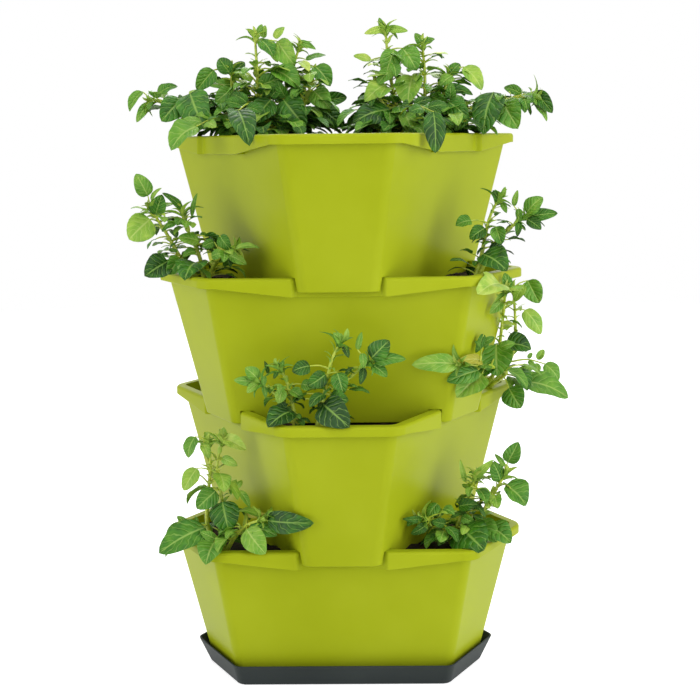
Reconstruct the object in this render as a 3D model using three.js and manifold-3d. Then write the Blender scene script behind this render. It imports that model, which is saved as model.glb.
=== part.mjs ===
// A vertical planter tower: four identical three-cornered pots, each turned against the one
// below so that its corners hook over the middle of the lower rim's long sides, on a saucer.
// The pots hold soil, and potato plants grow in the open corners and in the top pot.
// Millimetres, +Z up. The origin is the middle of the saucer's underside, and -Y is the front.

import * as THREE from "three";
import { mergeVertices } from "three/addons/utils/BufferGeometryUtils.js";
import Module from "manifold-3d";

const wasm = await Module();
wasm.setup();

// Pot: plan sizes are distances from the axis to a flat side at the rim
const rimLongApothem = 168; // to the three long sides
const potHeight = 187; // rim to bottom edge
const longDraft = 38.5; // how far a long side leans in on its way down
const facetDraft = 40.5; // how far a corner facet leans in on its way down
const wall = 3;
const potFloor = 3;
const cornerRadius = 16; // outside radius of the six upright edges
const drainHoleRadius = 4.5;
const drainRingRadius = 70;
const drainHoleCount = 6;

// Rim: a flange that turns down into a skirt, drawn in where the next pot's corner hooks over
const flangeReach = 9.5; // beyond the wall's outer face
const rimThickness = 3;
const skirtThickness = 2.6;
const rimEdge = 1.6; // chamfer along the top outer edge
const facetSkirtDepth = 12;
const recessSkirtDepth = 23;
const recessReach = 3; // what is left of the flange in the recess
const recessSideRun = 8; // length of the slanted end of a recess
const recessSideClearance = 3.1; // between a hooked corner and the recess's end

// Stacking
const tierNames = ["first", "second", "third", "top"];
const nestDepth = 17; // how far a pot's bottom sinks below the rim that carries it
const seatGap = 0.3; // between faces that rest on each other
const lipGap = 7.5; // from the recessed rim to the back of the lip that hangs over it
const slotClearance = 1.5; // around the rim where it passes through a corner
const plugClearance = 1; // between a pot's sunken bottom and the wall around it

// Saucer
const saucerHeight = 32;
const saucerWall = 2.5;
const saucerFloor = 2.5;
const saucerCornerRadius = 14;
const saucerLongFlare = 17; // how far its long sides lean out
const saucerFacetFlare = 12;
const saucerLongClearance = 4.2; // beside the pot's bottom edge
const saucerFacetClearance = 0.8;
const ribHeight = 1.3; // ribs that hold the pot clear of the water
const ribWidth = 5;
const ribCount = 6;
const ribStartShare = 1 / 3; // of a rib's outer end, from the middle

// Soil and plants
const soilBelowRim = 12;
const soilGap = 0.3;
const bushyHeight = 157; // the two plants in the top pot
const spreadingHeight = 130;
const uprightHeight = 116;
const thirdRightHeight = 108;
const trailingHeight = 166;
const youngHeight = 82;
const rootDepth = 24;
const stemFootRadius = 3.2;
const stemTipRadius = 1.5;
const stalkRadius = 1.3;
const leafThickness = 1.8;
const leafClearance = 7; // kept between a leaf's middle line and any pot
const plantGap = 0.8; // kept between any part of a plant and a pot's wall or rim
const crownDepth = 5; // how far the crown that joins a plant's stems lies below the soil

// Shared
const overrun = 2; // how far a cutting solid runs past what it cuts

// Facets of the round shapes
const cornerSteps = 3;
const holeSides = 8;
const stemSides = 4;
const stemSteps = 4;
const crownSides = 7;
const stalkPlaces = 5; // places along each step of a stem where a stalk can start
const plantTolerance = 0.45; // slivers thinner than this are merged away
const cutTolerance = 0.1; // the same, after the pots' zone has been cut out

// Sizes that follow from the ones above
const bottomLongApothem = rimLongApothem - longDraft;
const bottomFacetApothem = rimLongApothem + recessReach + lipGap + wall;
const raisedFloorUnder = nestDepth + seatGap;
const tierPitch = potHeight - nestDepth;
const firstTierBottom = saucerFloor + ribHeight + seatGap;
const soilTop = potHeight - soilBelowRim;

const flatAngle = (flat) => -Math.PI / 2 + (flat * Math.PI) / 3; // even flats are corner facets
const isFacet = (flat) => flat % 2 === 0;
const apothem = (size, flat) => (isFacet(flat) ? size.facet : size.long);

// Plan size of the pot's outer face at a height above its bottom edge, grown by an offset
function potSize(height, offset) {
  const share = height / potHeight;
  return {
    long: bottomLongApothem + longDraft * share + offset,
    facet: bottomFacetApothem + facetDraft * share + offset,
    radius: cornerRadius + offset,
  };
}

// Centre of the round between one flat and the next
function cornerCentre(size, flat) {
  const first = flatAngle(flat);
  const second = flatAngle(flat + 1);
  const d1 = apothem(size, flat) - size.radius;
  const d2 = apothem(size, flat + 1) - size.radius;
  const det = Math.sin(second - first);
  return new THREE.Vector2(
    (d1 * Math.sin(second) - d2 * Math.sin(first)) / det,
    (d2 * Math.cos(first) - d1 * Math.cos(second)) / det,
  );
}

// The points and normals of one rounded corner, and the whole outline of a pot or saucer
function cornerArc(size, flat) {
  const centre = cornerCentre(size, flat);
  return Array.from({ length: cornerSteps + 1 }, (_, step) => {
    const angle = flatAngle(flat) + (step / cornerSteps) * (Math.PI / 3);
    const normal = new THREE.Vector2(Math.cos(angle), Math.sin(angle));
    return { point: centre.clone().addScaledVector(normal, size.radius), normal };
  });
}

function outline(size, z) {
  const flats = [0, 1, 2, 3, 4, 5];
  const stations = flats.flatMap((flat) => cornerArc(size, flat));
  return stations.map(({ point }) => new THREE.Vector3(point.x, point.y, z));
}

// A closed body through rings of equal length, capped at both ends or closed on itself
function loft(rings, closed = false) {
  const count = rings[0].length;
  const points = rings.flat();
  const faces = [];
  const spans = closed ? rings.length : rings.length - 1;
  for (let ring = 0; ring < spans; ring += 1) {
    const low = ring * count;
    const high = ((ring + 1) % rings.length) * count;
    for (let i = 0; i < count; i += 1) {
      const next = (i + 1) % count;
      faces.push(low + i, low + next, high + next, low + i, high + next, high + i);
    }
  }
  if (!closed) {
    const last = (rings.length - 1) * count;
    for (let i = 1; i < count - 1; i += 1) {
      faces.push(0, i + 1, i, last, last + i, last + i + 1);
    }
  }
  const geometry = new THREE.BufferGeometry().setFromPoints(points);
  geometry.setIndex(faces);
  return toSolid(geometry);
}

function toSolid(geometry) {
  geometry.deleteAttribute("normal");
  geometry.deleteAttribute("uv");
  const merged = mergeVertices(geometry);
  const mesh = new wasm.Mesh({
    numProp: 3,
    vertProperties: new Float32Array(merged.getAttribute("position").array),
    triVerts: new Uint32Array(merged.getIndex().array),
  });
  return new wasm.Manifold(mesh);
}

function toGeometry(solid) {
  const { vertProperties, triVerts } = solid.getMesh();
  const geometry = new THREE.BufferGeometry();
  geometry.setAttribute("position", new THREE.BufferAttribute(new Float32Array(vertProperties), 3));
  geometry.setIndex(new THREE.BufferAttribute(new Uint32Array(triVerts), 1));
  geometry.computeVertexNormals();
  return geometry;
}

// A body of the pot's outline between two heights, grown or shrunk by an offset
function potBody(low, high, offset) {
  return loft([outline(potSize(low, offset), low), outline(potSize(high, offset), high)]);
}

// A box that reaches outward from a flat: near and far are distances from the axis
function outwardBox(flat, near, far, width, low, high) {
  const box = new THREE.BoxGeometry(far - near, width, high - low);
  box.translate((near + far) / 2, 0, (low + high) / 2);
  box.rotateZ(flatAngle(flat));
  return toSolid(box);
}

// Half the width of a hooked corner where it passes through the recessed rim below
function hookHalfWidth() {
  const passing = potSize(nestDepth, 0).long;
  const rimFace = rimLongApothem + recessReach;
  return (passing - rimFace * Math.cos(Math.PI / 3)) / Math.sin(Math.PI / 3);
}

const recessHalfWidth = hookHalfWidth() + recessSideClearance;

// Cross-section of the rim at one place along it, seen with the pot's wall to the left
function rimSection({ point, normal, reach, depth, hollow }) {
  const slope = longDraft / potHeight;
  const insideWall = (height) => -wall / 2 + slope * height;
  const section = [
    [reach - rimEdge, 0],
    [reach, -rimEdge],
    [reach, -depth],
    hollow ? [reach - skirtThickness, -depth] : [insideWall(-depth), -depth],
    hollow ? [reach - skirtThickness, -rimThickness] : [insideWall(-depth / 2), -depth / 2],
    [insideWall(-rimThickness), -rimThickness],
    [insideWall(0), 0],
  ];
  return section.map(([out, up]) => {
    const place = point.clone().addScaledVector(normal, out);
    return new THREE.Vector3(place.x, place.y, potHeight + up);
  });
}

// The rim all round: full flange on the facets, deeper along the long sides, with the recess
function rimRing() {
  const size = potSize(potHeight, 0);
  const stations = [];
  for (let flat = 0; flat < 6; flat += 1) {
    if (!isFacet(flat)) {
      const angle = flatAngle(flat);
      const normal = new THREE.Vector2(Math.cos(angle), Math.sin(angle));
      const along = new THREE.Vector2(-normal.y, normal.x);
      const innerHalf = recessHalfWidth - recessSideRun;
      for (const place of [-recessHalfWidth, -innerHalf, innerHalf, recessHalfWidth]) {
        const inRecess = Math.abs(place) < recessHalfWidth;
        stations.push({
          point: normal.clone().multiplyScalar(size.long).addScaledVector(along, place),
          normal,
          reach: inRecess ? recessReach : flangeReach,
          depth: recessSkirtDepth,
          hollow: !inRecess,
        });
      }
    }
    for (const station of cornerArc(size, flat)) {
      stations.push({ ...station, reach: flangeReach, depth: facetSkirtDepth, hollow: true });
    }
  }
  return loft(stations.map(rimSection), true);
}

// What the rim below takes out of a corner: its recessed band, and clearance on both sides
function rimSlot(flat) {
  const near = plugReach();
  const band = rimLongApothem + recessReach + slotClearance;
  const shoulder = rimLongApothem + flangeReach + slotClearance;
  const inner = recessHalfWidth - recessSideRun - slotClearance;
  const outer = recessHalfWidth - slotClearance;
  const end = potSize(0, 0).facet;
  const shape = new THREE.Shape([
    new THREE.Vector2(near, -end),
    new THREE.Vector2(shoulder, -end),
    new THREE.Vector2(shoulder, -outer),
    new THREE.Vector2(band, -inner),
    new THREE.Vector2(band, inner),
    new THREE.Vector2(shoulder, outer),
    new THREE.Vector2(shoulder, end),
    new THREE.Vector2(near, end),
  ]);
  const depth = raisedFloorUnder + overrun;
  const slot = new THREE.ExtrudeGeometry(shape, { depth, bevelEnabled: false });
  slot.translate(0, 0, -overrun);
  slot.rotateZ(flatAngle(flat));
  return toSolid(slot);
}

// Distance from the axis to the step where the sunken bottom ends and the raised floor begins
function plugReach() {
  return potSize(potHeight - nestDepth, -wall).long - plugClearance;
}

// The raised floor that a corner stands on, as it fills the inside of the pot, with extra all round
function cornerStep(flat, extra) {
  const far = rimLongApothem + potHeight;
  const near = plugReach() - wall - extra;
  return outwardBox(flat, near, far, far, -overrun, raisedFloorUnder + potFloor + extra);
}

function drainHoles() {
  return Array.from({ length: drainHoleCount }, (_, hole) => {
    const angle = ((hole + 1 / 2) / drainHoleCount) * 2 * Math.PI;
    const length = potFloor + 2 * overrun;
    const drill = new THREE.CylinderGeometry(drainHoleRadius, drainHoleRadius, length, holeSides);
    drill.rotateX(Math.PI / 2);
    drill.translate(
      drainRingRadius * Math.cos(angle),
      drainRingRadius * Math.sin(angle),
      potFloor / 2,
    );
    return toSolid(drill);
  });
}

const facetFlats = [0, 2, 4];

function makePot() {
  let hollow = potBody(potFloor, potHeight + overrun, -wall);
  for (const flat of facetFlats) hollow = hollow.subtract(cornerStep(flat, 0));
  let pot = potBody(0, potHeight, 0).add(rimRing()).subtract(hollow);
  const far = rimLongApothem + potHeight;
  const underside = potBody(-overrun, raisedFloorUnder, -wall);
  for (const flat of facetFlats) {
    const under = outwardBox(flat, plugReach(), far, far, -2 * overrun, raisedFloorUnder);
    pot = pot.subtract(underside.intersect(under)).subtract(rimSlot(flat));
  }
  for (const hole of drainHoles()) pot = pot.subtract(hole);
  return pot;
}

// The saucer follows the pot's bottom edge, leans outward, and has ribs that run from near the middle
function saucerSize(height, offset) {
  const seat = potSize(0, saucerWall + offset);
  const share = (height - firstTierBottom) / saucerHeight;
  return {
    long: seat.long + saucerLongClearance + saucerLongFlare * share,
    facet: seat.facet + saucerFacetClearance + saucerFacetFlare * share,
    radius: saucerCornerRadius + offset,
  };
}

function saucerBody(low, high, offset) {
  return loft([outline(saucerSize(low, offset), low), outline(saucerSize(high, offset), high)]);
}

function makeSaucer() {
  const hollow = saucerBody(saucerFloor, saucerHeight + overrun, -saucerWall);
  let saucer = saucerBody(0, saucerHeight, 0).subtract(hollow);
  const ribEnd = bottomLongApothem - cornerRadius;
  const ribStart = ribEnd * ribStartShare;
  for (let rib = 0; rib < ribCount; rib += 1) {
    const bar = new THREE.BoxGeometry(ribEnd - ribStart, ribWidth, saucerFloor / 2 + ribHeight);
    bar.translate((ribStart + ribEnd) / 2, 0, (saucerFloor * 3) / 4 + ribHeight / 2);
    bar.rotateZ((rib / ribCount) * 2 * Math.PI);
    saucer = saucer.add(toSolid(bar));
  }
  return saucer;
}

// Plants: every table holds shares of the plant's height, x to the right, y away from the
// viewer and z up from the soil. A stem is a row of points. A leaf is the point where its
// blade starts, the point where it ends, and the blade's width as a share of its length.
const plantFormShares = {
  bushyLeft: {
    stemShares: [
      [[0.04, 0, 0], [0.03, -0.05, 0.27], [0.02, -0.05, 0.6], [0.01, -0.05, 0.87]],
      [[-0.01, 0, 0], [-0.2, 0, 0.19], [-0.46, -0.02, 0.3], [-0.86, -0.05, 0.37]],
      [[0.08, 0, 0], [0.19, 0, 0.27], [0.28, 0, 0.54], [0.37, -0.03, 0.79]],
      [[0.11, -0.05, 0], [0.33, -0.1, 0.2], [0.43, -0.1, 0.39], [0.48, -0.1, 0.58]],
      [[-0.03, 0.05, 0], [-0.17, 0.08, 0.27], [-0.2, 0.08, 0.45], [-0.2, 0.05, 0.61]],
      [[0.06, 0.06, 0], [0.11, 0.25, 0.21], [0.26, 0.4, 0.33], [0.34, 0.5, 0.41]],
    ],
    leafShares: [
      [-0.92, -0.05, 0.44, -1.03, -0.1, 0.29, 0.5],
      [-0.8, 0, 0.42, -0.65, 0.05, 0.5, 0.55],
      [-0.87, -0.05, 0.35, -0.97, -0.1, 0.2, 0.4],
      [-0.59, -0.12, 0.37, -0.74, -0.25, 0.2, 0.75],
      [-0.52, -0.12, 0.42, -0.4, -0.3, 0.14, 0.72],
      [-0.43, -0.5, 0.15, -0.63, -0.6, -0.01, 0.8],
      [-0.34, 0.02, 0.61, -0.48, -0.02, 0.45, 0.65],
      [-0.21, 0.02, 0.58, -0.3, 0.05, 0.71, 0.75],
      [-0.19, 0.05, 0.58, -0.09, 0.1, 0.68, 0.6],
      [-0.16, 0.2, 0.49, -0.42, 0.25, 0.51, 0.35],
      [-0.06, -0.85, 0.26, 0.04, -1.12, 0.02, 0.5],
      [-0.07, -0.15, 0.34, -0.22, -0.25, 0.3, 0.75],
      [0.01, -0.05, 0.87, -0.05, -0.06, 0.93, 0.5],
      [0.03, -0.05, 0.89, 0.07, -0.02, 0.97, 0.45],
      [0.06, -0.05, 0.84, 0.16, -0.12, 0.71, 0.8],
      [0.19, -0.02, 0.83, 0.33, -0.1, 0.63, 0.65],
      [0.36, -0.03, 0.82, 0.5, -0.05, 0.77, 0.35],
      [0.42, -0.05, 0.68, 0.58, 0, 0.72, 0.4],
      [0.5, -0.12, 0.62, 0.62, -0.2, 0.46, 0.7],
      [0.16, -0.1, 0.6, 0.37, -0.2, 0.46, 0.7],
      [0.48, -0.12, 0.43, 0.61, -0.22, 0.29, 0.75],
      [0.04, -0.1, 0.47, 0.23, -0.15, 0.53, 0.65],
      [0.14, -0.18, 0.36, 0.01, -0.3, 0.19, 0.75],
      [0.24, -0.18, 0.36, 0.42, -0.32, 0.14, 0.72],
      [0.51, 0.05, 0.28, 0.73, 0.05, 0.15, 0.6],
      [0.54, 0.15, 0.35, 0.75, 0.2, 0.39, 0.5],
      [-0.32, -0.05, 0.3, -0.38, -0.12, 0.12, 0.65],
      [-0.19, 0, 0.45, -0.32, -0.1, 0.35, 0.65],
      [0.33, 0.6, 0.4, 0.32, 0.75, 0.23, 0.7],
      [0.08, 0.3, 0.44, -0.08, 0.45, 0.51, 0.6],
    ],
  },
  bushyRight: {
    stemShares: [
      [[-0.12, 0, 0], [-0.2, -0.03, 0.25], [-0.27, -0.03, 0.59], [-0.3, -0.03, 0.91]],
      [[-0.05, 0, 0], [0.01, 0, 0.25], [0.02, 0, 0.54], [0, -0.02, 0.79]],
      [[-0.04, 0, 0], [0.19, 0, 0.17], [0.5, -0.02, 0.31], [0.91, -0.05, 0.37]],
      [[-0.14, -0.05, 0], [-0.25, -0.1, 0.16], [-0.33, -0.1, 0.32], [-0.38, -0.1, 0.48]],
      [[-0.02, 0.05, 0], [0.13, 0.08, 0.25], [0.18, 0.08, 0.41], [0.22, 0.05, 0.57]],
      [[-0.1, 0.06, 0], [-0.14, 0.25, 0.19], [-0.29, 0.4, 0.32], [-0.38, 0.5, 0.4]],
    ],
    leafShares: [
      [0.91, -0.05, 0.4, 1.05, -0.1, 0.23, 0.5],
      [0.81, 0, 0.39, 0.67, 0.05, 0.45, 0.5],
      [0.9, -0.05, 0.32, 1.01, -0.1, 0.17, 0.4],
      [0.65, -0.12, 0.32, 0.75, -0.25, 0.11, 0.8],
      [0.57, -0.12, 0.4, 0.46, -0.3, 0.09, 0.66],
      [0.34, 0.02, 0.61, 0.49, -0.02, 0.43, 0.6],
      [0.23, 0.02, 0.56, 0.31, 0.05, 0.64, 0.75],
      [0.24, -0.02, 0.54, 0.14, -0.08, 0.46, 0.7],
      [0.16, 0.2, 0.42, 0.44, 0.25, 0.41, 0.35],
      [0.04, -1, 0.23, 0.05, -1.1, -0.07, 0.5],
      [0.2, -0.15, 0.33, 0.35, -0.25, 0.2, 0.65],
      [-0.31, -0.03, 0.92, -0.47, -0.05, 0.88, 0.35],
      [-0.29, -0.03, 0.92, -0.12, -0.05, 0.9, 0.35],
      [-0.32, -0.03, 0.91, -0.35, 0, 1.01, 0.4],
      [-0.42, -0.05, 0.67, -0.56, 0, 0.71, 0.4],
      [-0.23, -0.05, 0.75, -0.31, -0.14, 0.53, 0.62],
      [-0.16, -0.05, 0.76, -0.05, -0.14, 0.58, 0.75],
      [0, -0.02, 0.79, -0.06, -0.03, 0.88, 0.6],
      [0.01, -0.02, 0.79, 0.1, 0, 0.84, 0.6],
      [-0.27, -0.18, 0.27, -0.57, -0.32, 0.17, 0.62],
      [-0.17, -0.2, 0.25, -0.1, -0.35, 0.08, 0.7],
      [-0.08, -0.1, 0.54, -0.13, -0.24, 0.31, 0.8],
      [-0.3, -0.12, 0.47, -0.47, -0.22, 0.35, 0.65],
      [-0.25, -0.1, 0.59, -0.37, -0.16, 0.47, 0.6],
      [0.37, -0.05, 0.28, 0.26, -0.12, 0.1, 0.6],
      [0.06, -0.05, 0.38, 0.18, -0.15, 0.29, 0.65],
      [-0.4, 0.1, 0.37, -0.55, 0.1, 0.31, 0.6],
      [-0.38, 0.6, 0.39, -0.29, 0.75, 0.2, 0.7],
      [-0.14, 0.3, 0.43, 0.03, 0.45, 0.5, 0.6],
    ],
  },
  spreading: {
    stemShares: [
      [[-0.07, 0, 0], [-0.26, -0.02, 0.26], [-0.37, -0.04, 0.47], [-0.52, -0.05, 0.72]],
      [[-0.03, 0, 0], [-0.07, -0.02, 0.26], [-0.17, -0.04, 0.51], [-0.23, -0.05, 0.7]],
      [[0, 0, 0], [0.1, -0.1, 0.21], [0.23, -0.2, 0.31], [0.31, -0.25, 0.34]],
    ],
    leafShares: [
      [-0.54, -0.05, 0.84, -0.64, -0.08, 1.05, 0.66],
      [-0.51, -0.05, 0.8, -0.42, -0.02, 0.92, 0.35],
      [-0.47, -0.06, 0.66, -0.4, -0.08, 0.85, 0.75],
      [-0.21, -0.05, 0.7, -0.39, -0.1, 0.87, 0.32],
      [-0.52, -0.08, 0.62, -0.72, -0.15, 0.44, 0.95],
      [-0.36, -0.12, 0.22, -0.56, -0.25, 0.1, 0.85],
      [-0.25, -0.1, 0.25, -0.35, -0.2, 0.1, 0.75],
      [-0.06, -0.08, 0.41, -0.25, -0.14, 0.45, 0.6],
      [-0.08, -0.12, 0.2, -0.16, -0.44, 0.1, 0.85],
      [-0.09, -0.1, 0.31, -0.21, -0.15, 0.27, 0.7],
      [0.15, -0.15, 0.46, 0.25, -0.2, 0.33, 0.7],
      [0.09, -0.12, 0.4, -0.02, -0.16, 0.36, 0.75],
      [0.07, -0.2, 0.27, 0.21, -0.25, 0.31, 0.6],
      [0.31, -0.3, 0.35, 0.53, -0.38, 0.38, 0.3],
      [-0.13, -0.02, 0.64, -0.08, -0.02, 0.86, 0.22],
      [0.25, -0.25, 0.28, 0.41, -0.3, 0.2, 0.5],
    ],
  },
  upright: {
    stemShares: [
      [[0.01, 0, 0], [0.08, 0, 0.26], [0.14, -0.02, 0.58], [0.2, -0.03, 0.79], [0.28, -0.03, 0.93]],
      [[0.04, 0, 0], [0.19, -0.04, 0.35], [0.37, -0.06, 0.57], [0.59, -0.07, 0.73]],
    ],
    leafShares: [
      [-0.04, -0.06, 0.69, -0.22, -0.1, 0.65, 0.85],
      [0.12, -0.06, 0.6, -0.06, -0.12, 0.49, 0.75],
      [0.24, -0.08, 0.62, 0.3, -0.14, 0.42, 0.75],
      [0.16, -0.1, 0.36, 0.35, -0.16, 0.35, 0.8],
      [0.09, -0.14, 0.31, 0.34, -0.4, 0.14, 0.78],
      [0.59, -0.08, 0.77, 0.77, -0.1, 0.95, 0.78],
      [0.62, -0.08, 0.73, 0.94, -0.12, 0.77, 0.42],
      [0.6, -0.1, 0.7, 0.75, -0.16, 0.59, 0.65],
      [0.5, -0.08, 0.82, 0.51, -0.12, 0.67, 0.5],
      [0.51, -0.08, 0.67, 0.48, -0.14, 0.51, 0.45],
      [0.32, -0.03, 0.95, 0.35, -0.03, 1.07, 0.45],
      [0.29, -0.03, 0.91, 0.21, -0.05, 1.03, 0.7],
      [0.31, -0.05, 0.89, 0.36, -0.1, 0.78, 0.5],
      [0.45, -0.03, 0.85, 0.49, -0.03, 1.03, 0.35],
    ],
  },
  trailing: {
    stemShares: [
      [
        [-0.18, 0, 0], [-0.25, -0.03, 0.21], [-0.23, -0.05, 0.49],
        [-0.21, -0.06, 0.71], [-0.22, -0.06, 0.87],
      ],
      [
        [-0.13, 0, 0], [-0.12, -0.04, 0.25], [-0.14, -0.07, 0.5],
        [-0.16, -0.07, 0.69], [-0.11, -0.06, 0.88],
      ],
      [[-0.11, -0.02, 0], [-0.04, -0.1, 0.13], [0.06, -0.18, 0.25], [0.19, -0.25, 0.32]],
    ],
    leafShares: [
      [-0.12, -0.12, 0.42, -0.07, -0.2, 0.21, 0.9],
      [-0.17, -0.1, 0.5, -0.31, -0.16, 0.38, 0.75],
      [-0.26, -0.12, 0.22, -0.59, -0.26, 0.07, 0.55],
      [-0.43, -0.05, 0.21, -0.56, -0.08, 0.15, 0.7],
      [-0.18, -0.2, 0.13, -0.23, -0.36, 0.02, 0.9],
      [0.07, -0.24, 0.24, 0.21, -0.36, 0.09, 0.72],
      [0.09, -0.22, 0.26, 0.3, -0.3, 0.21, 0.48],
      [0.23, -0.28, 0.32, 0.58, -0.46, 0.35, 0.4],
      [0.06, -0.12, 0.32, 0.19, -0.16, 0.33, 0.45],
      [0.01, -0.1, 0.5, 0.09, -0.14, 0.38, 0.38],
      [-0.31, -0.08, 0.67, -0.41, -0.12, 0.51, 0.6],
      [-0.32, -0.06, 0.91, -0.38, -0.1, 0.76, 0.65],
      [-0.26, -0.08, 0.87, -0.21, -0.12, 0.76, 0.55],
      [-0.1, -0.06, 0.9, 0.07, -0.12, 0.82, 0.5],
      [-0.12, -0.06, 0.9, -0.1, -0.06, 0.98, 0.75],
      [-0.12, -0.08, 0.75, 0, -0.12, 0.7, 0.5],
    ],
  },
  reaching: {
    stemShares: [
      [
        [0.03, 0, 0], [0.18, -0.15, 0.25], [0.17, -0.38, 0.47],
        [0.17, -0.6, 0.71], [0.16, -0.88, 0.96],
      ],
      [
        [0.04, 0.02, 0], [0.25, 0, 0.2], [0.33, -0.02, 0.41],
        [0.33, -0.03, 0.64], [0.31, -0.04, 0.88],
      ],
      [
        [0.03, -0.01, 0], [0.23, -0.25, 0.21], [0.14, -0.6, 0.32],
        [-0.04, -0.9, 0.4], [-0.19, -1.07, 0.44],
      ],
    ],
    leafShares: [
      [0.12, -0.62, 0.51, 0.12, -0.7, 0.28, 0.85],
      [0.25, -0.1, 0.43, 0.45, -0.14, 0.41, 0.85],
      [0.39, -0.12, 0.13, 0.75, -0.2, 0.02, 0.58],
      [0.58, 0, 0.25, 0.7, -0.02, 0.12, 0.7],
      [0.26, -0.25, 0.1, 0.34, -0.35, -0.04, 0.95],
      [-0.01, -0.85, 0.32, -0.21, -1.01, 0.18, 0.72],
      [-0.04, -0.9, 0.36, -0.28, -1.04, 0.31, 0.48],
      [-0.21, -1.07, 0.44, -0.54, -1.15, 0.46, 0.4],
      [-0.01, -0.85, 0.42, -0.18, -1.09, 0.47, 0.45],
      [0, -0.86, 0.63, -0.06, -0.88, 0.49, 0.38],
      [0.41, -0.02, 0.7, 0.55, -0.05, 0.51, 0.6],
      [0.43, -0.02, 0.94, 0.52, -0.06, 0.76, 0.75],
      [0.39, -0.1, 0.91, 0.31, -0.14, 0.79, 0.6],
      [0.11, -0.97, 1.02, -0.08, -1.26, 0.98, 0.6],
      [0.18, -0.86, 0.97, 0.15, -0.9, 1.09, 0.6],
      [0.15, -0.75, 0.87, 0.05, -0.82, 0.78, 0.5],
    ],
  },
  young: {
    stemShares: [
      [[0, 0, 0], [0.02, 0, 0.3], [0.06, -0.02, 0.62], [0.1, -0.02, 0.84]],
      [[0.04, -0.03, 0], [0.14, -0.08, 0.2], [0.24, -0.12, 0.38], [0.34, -0.16, 0.48]],
    ],
    leafShares: [
      [0.08, -0.02, 0.85, 0.02, -0.04, 1, 0.55],
      [0.12, -0.04, 0.84, 0.3, -0.1, 0.92, 0.6],
      [0.03, -0.05, 0.66, -0.2, -0.12, 0.6, 0.75],
      [0.1, -0.06, 0.6, 0.3, -0.14, 0.66, 0.7],
      [0, -0.07, 0.4, -0.24, -0.18, 0.28, 0.75],
      [0.36, -0.18, 0.5, 0.56, -0.26, 0.44, 0.75],
      [0.24, -0.16, 0.34, 0.36, -0.3, 0.18, 0.75],
      [0.1, -0.12, 0.24, 0.04, -0.3, 0.12, 0.7],
    ],
  },
};

// Where the plants stand. In a corner pocket, out runs from the wall of the pot above to the
// facet, and across is a share of the facet's half width. In the top pot, out runs to the
// front and across to the right, as shares of the rim. A mirrored plant leans the other way,
// and a turned one looks to the back.
const plantPlaces = {
  plant_top_left: {
    form: "bushyLeft", height: bushyHeight, tier: 3, outShare: 0.12, acrossShare: -0.66,
  },
  plant_top_right: {
    form: "bushyRight", height: bushyHeight, tier: 3, outShare: 0.12, acrossShare: 0.66,
  },
  plant_third_left: {
    form: "spreading", height: spreadingHeight, tier: 2, flat: 2, outShare: 0.72, acrossShare: 0,
  },
  plant_third_right: {
    form: "upright", height: thirdRightHeight, tier: 2, flat: 4, outShare: 0.74, acrossShare: 0,
  },
  plant_third_back: {
    form: "young", height: youngHeight, tier: 2, flat: 0, outShare: 0.6, acrossShare: 0.3,
    turned: true,
  },
  plant_second_front: {
    form: "upright", height: uprightHeight, tier: 1, flat: 0, outShare: 0.72, acrossShare: -0.48,
  },
  plant_second_young: {
    form: "upright", height: youngHeight, tier: 1, flat: 0, outShare: 0.64, acrossShare: -0.78,
    mirrored: true,
  },
  plant_second_right: {
    form: "reaching", height: trailingHeight, tier: 1, flat: 2, outShare: 0.42, acrossShare: -1.09,
  },
  plant_first_left: {
    form: "trailing", height: trailingHeight, tier: 0, flat: 2, outShare: 0.53, acrossShare: 0.73,
  },
  plant_first_right: {
    form: "spreading", height: spreadingHeight, tier: 0, flat: 4, outShare: 0.52,
    acrossShare: -0.38, mirrored: true,
  },
  plant_first_back: {
    form: "young", height: youngHeight, tier: 0, flat: 0, outShare: 0.6, acrossShare: -0.4,
    turned: true,
  },
};

const tierBottom = (tier) => firstTierBottom + tier * tierPitch;
const tierAngle = (tier) => (tier % 2 === 0 ? Math.PI : 0); // every other pot is turned
const upward = new THREE.Vector3(0, 0, 1);

// How far a point lies inside an outline, as the flat it is nearest to and its (negative) depth
function nearestFlat(place, size) {
  let best = { depth: -Infinity };
  for (let flat = 0; flat < 6; flat += 1) {
    const normal = new THREE.Vector2(Math.cos(flatAngle(flat)), Math.sin(flatAngle(flat)));
    const depth = normal.dot(place) - apothem(size, flat);
    if (depth > best.depth) best = { depth, normal };
  }
  return best;
}

// Moves a point of a plant outward until it is clear of every pot, unless it is in its pocket
function keepClear(point, ownTier, clearance) {
  const clear = point.clone();
  const pot = new THREE.Vector2();
  for (let tier = 0; tier < tierNames.length; tier += 1) {
    const height = clear.z - tierBottom(tier);
    if (height < -clearance || height > potHeight + clearance) continue;
    const underSkirt = potHeight - recessSkirtDepth - clearance;
    const size = height > underSkirt
      ? potSize(potHeight, flangeReach + clearance)
      : potSize(height, clearance);
    pot.set(clear.x, clear.y).rotateAround(new THREE.Vector2(), -tierAngle(tier));
    const outside = nearestFlat(pot, size);
    const inside = nearestFlat(pot, potSize(height, -wall - clearance));
    if (outside.depth >= 0 || (tier === ownTier && inside.depth < 0)) continue;
    pot.addScaledVector(outside.normal, -outside.depth);
    pot.rotateAround(new THREE.Vector2(), tierAngle(tier));
    clear.set(pot.x, pot.y, clear.z);
  }
  return clear;
}

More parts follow.
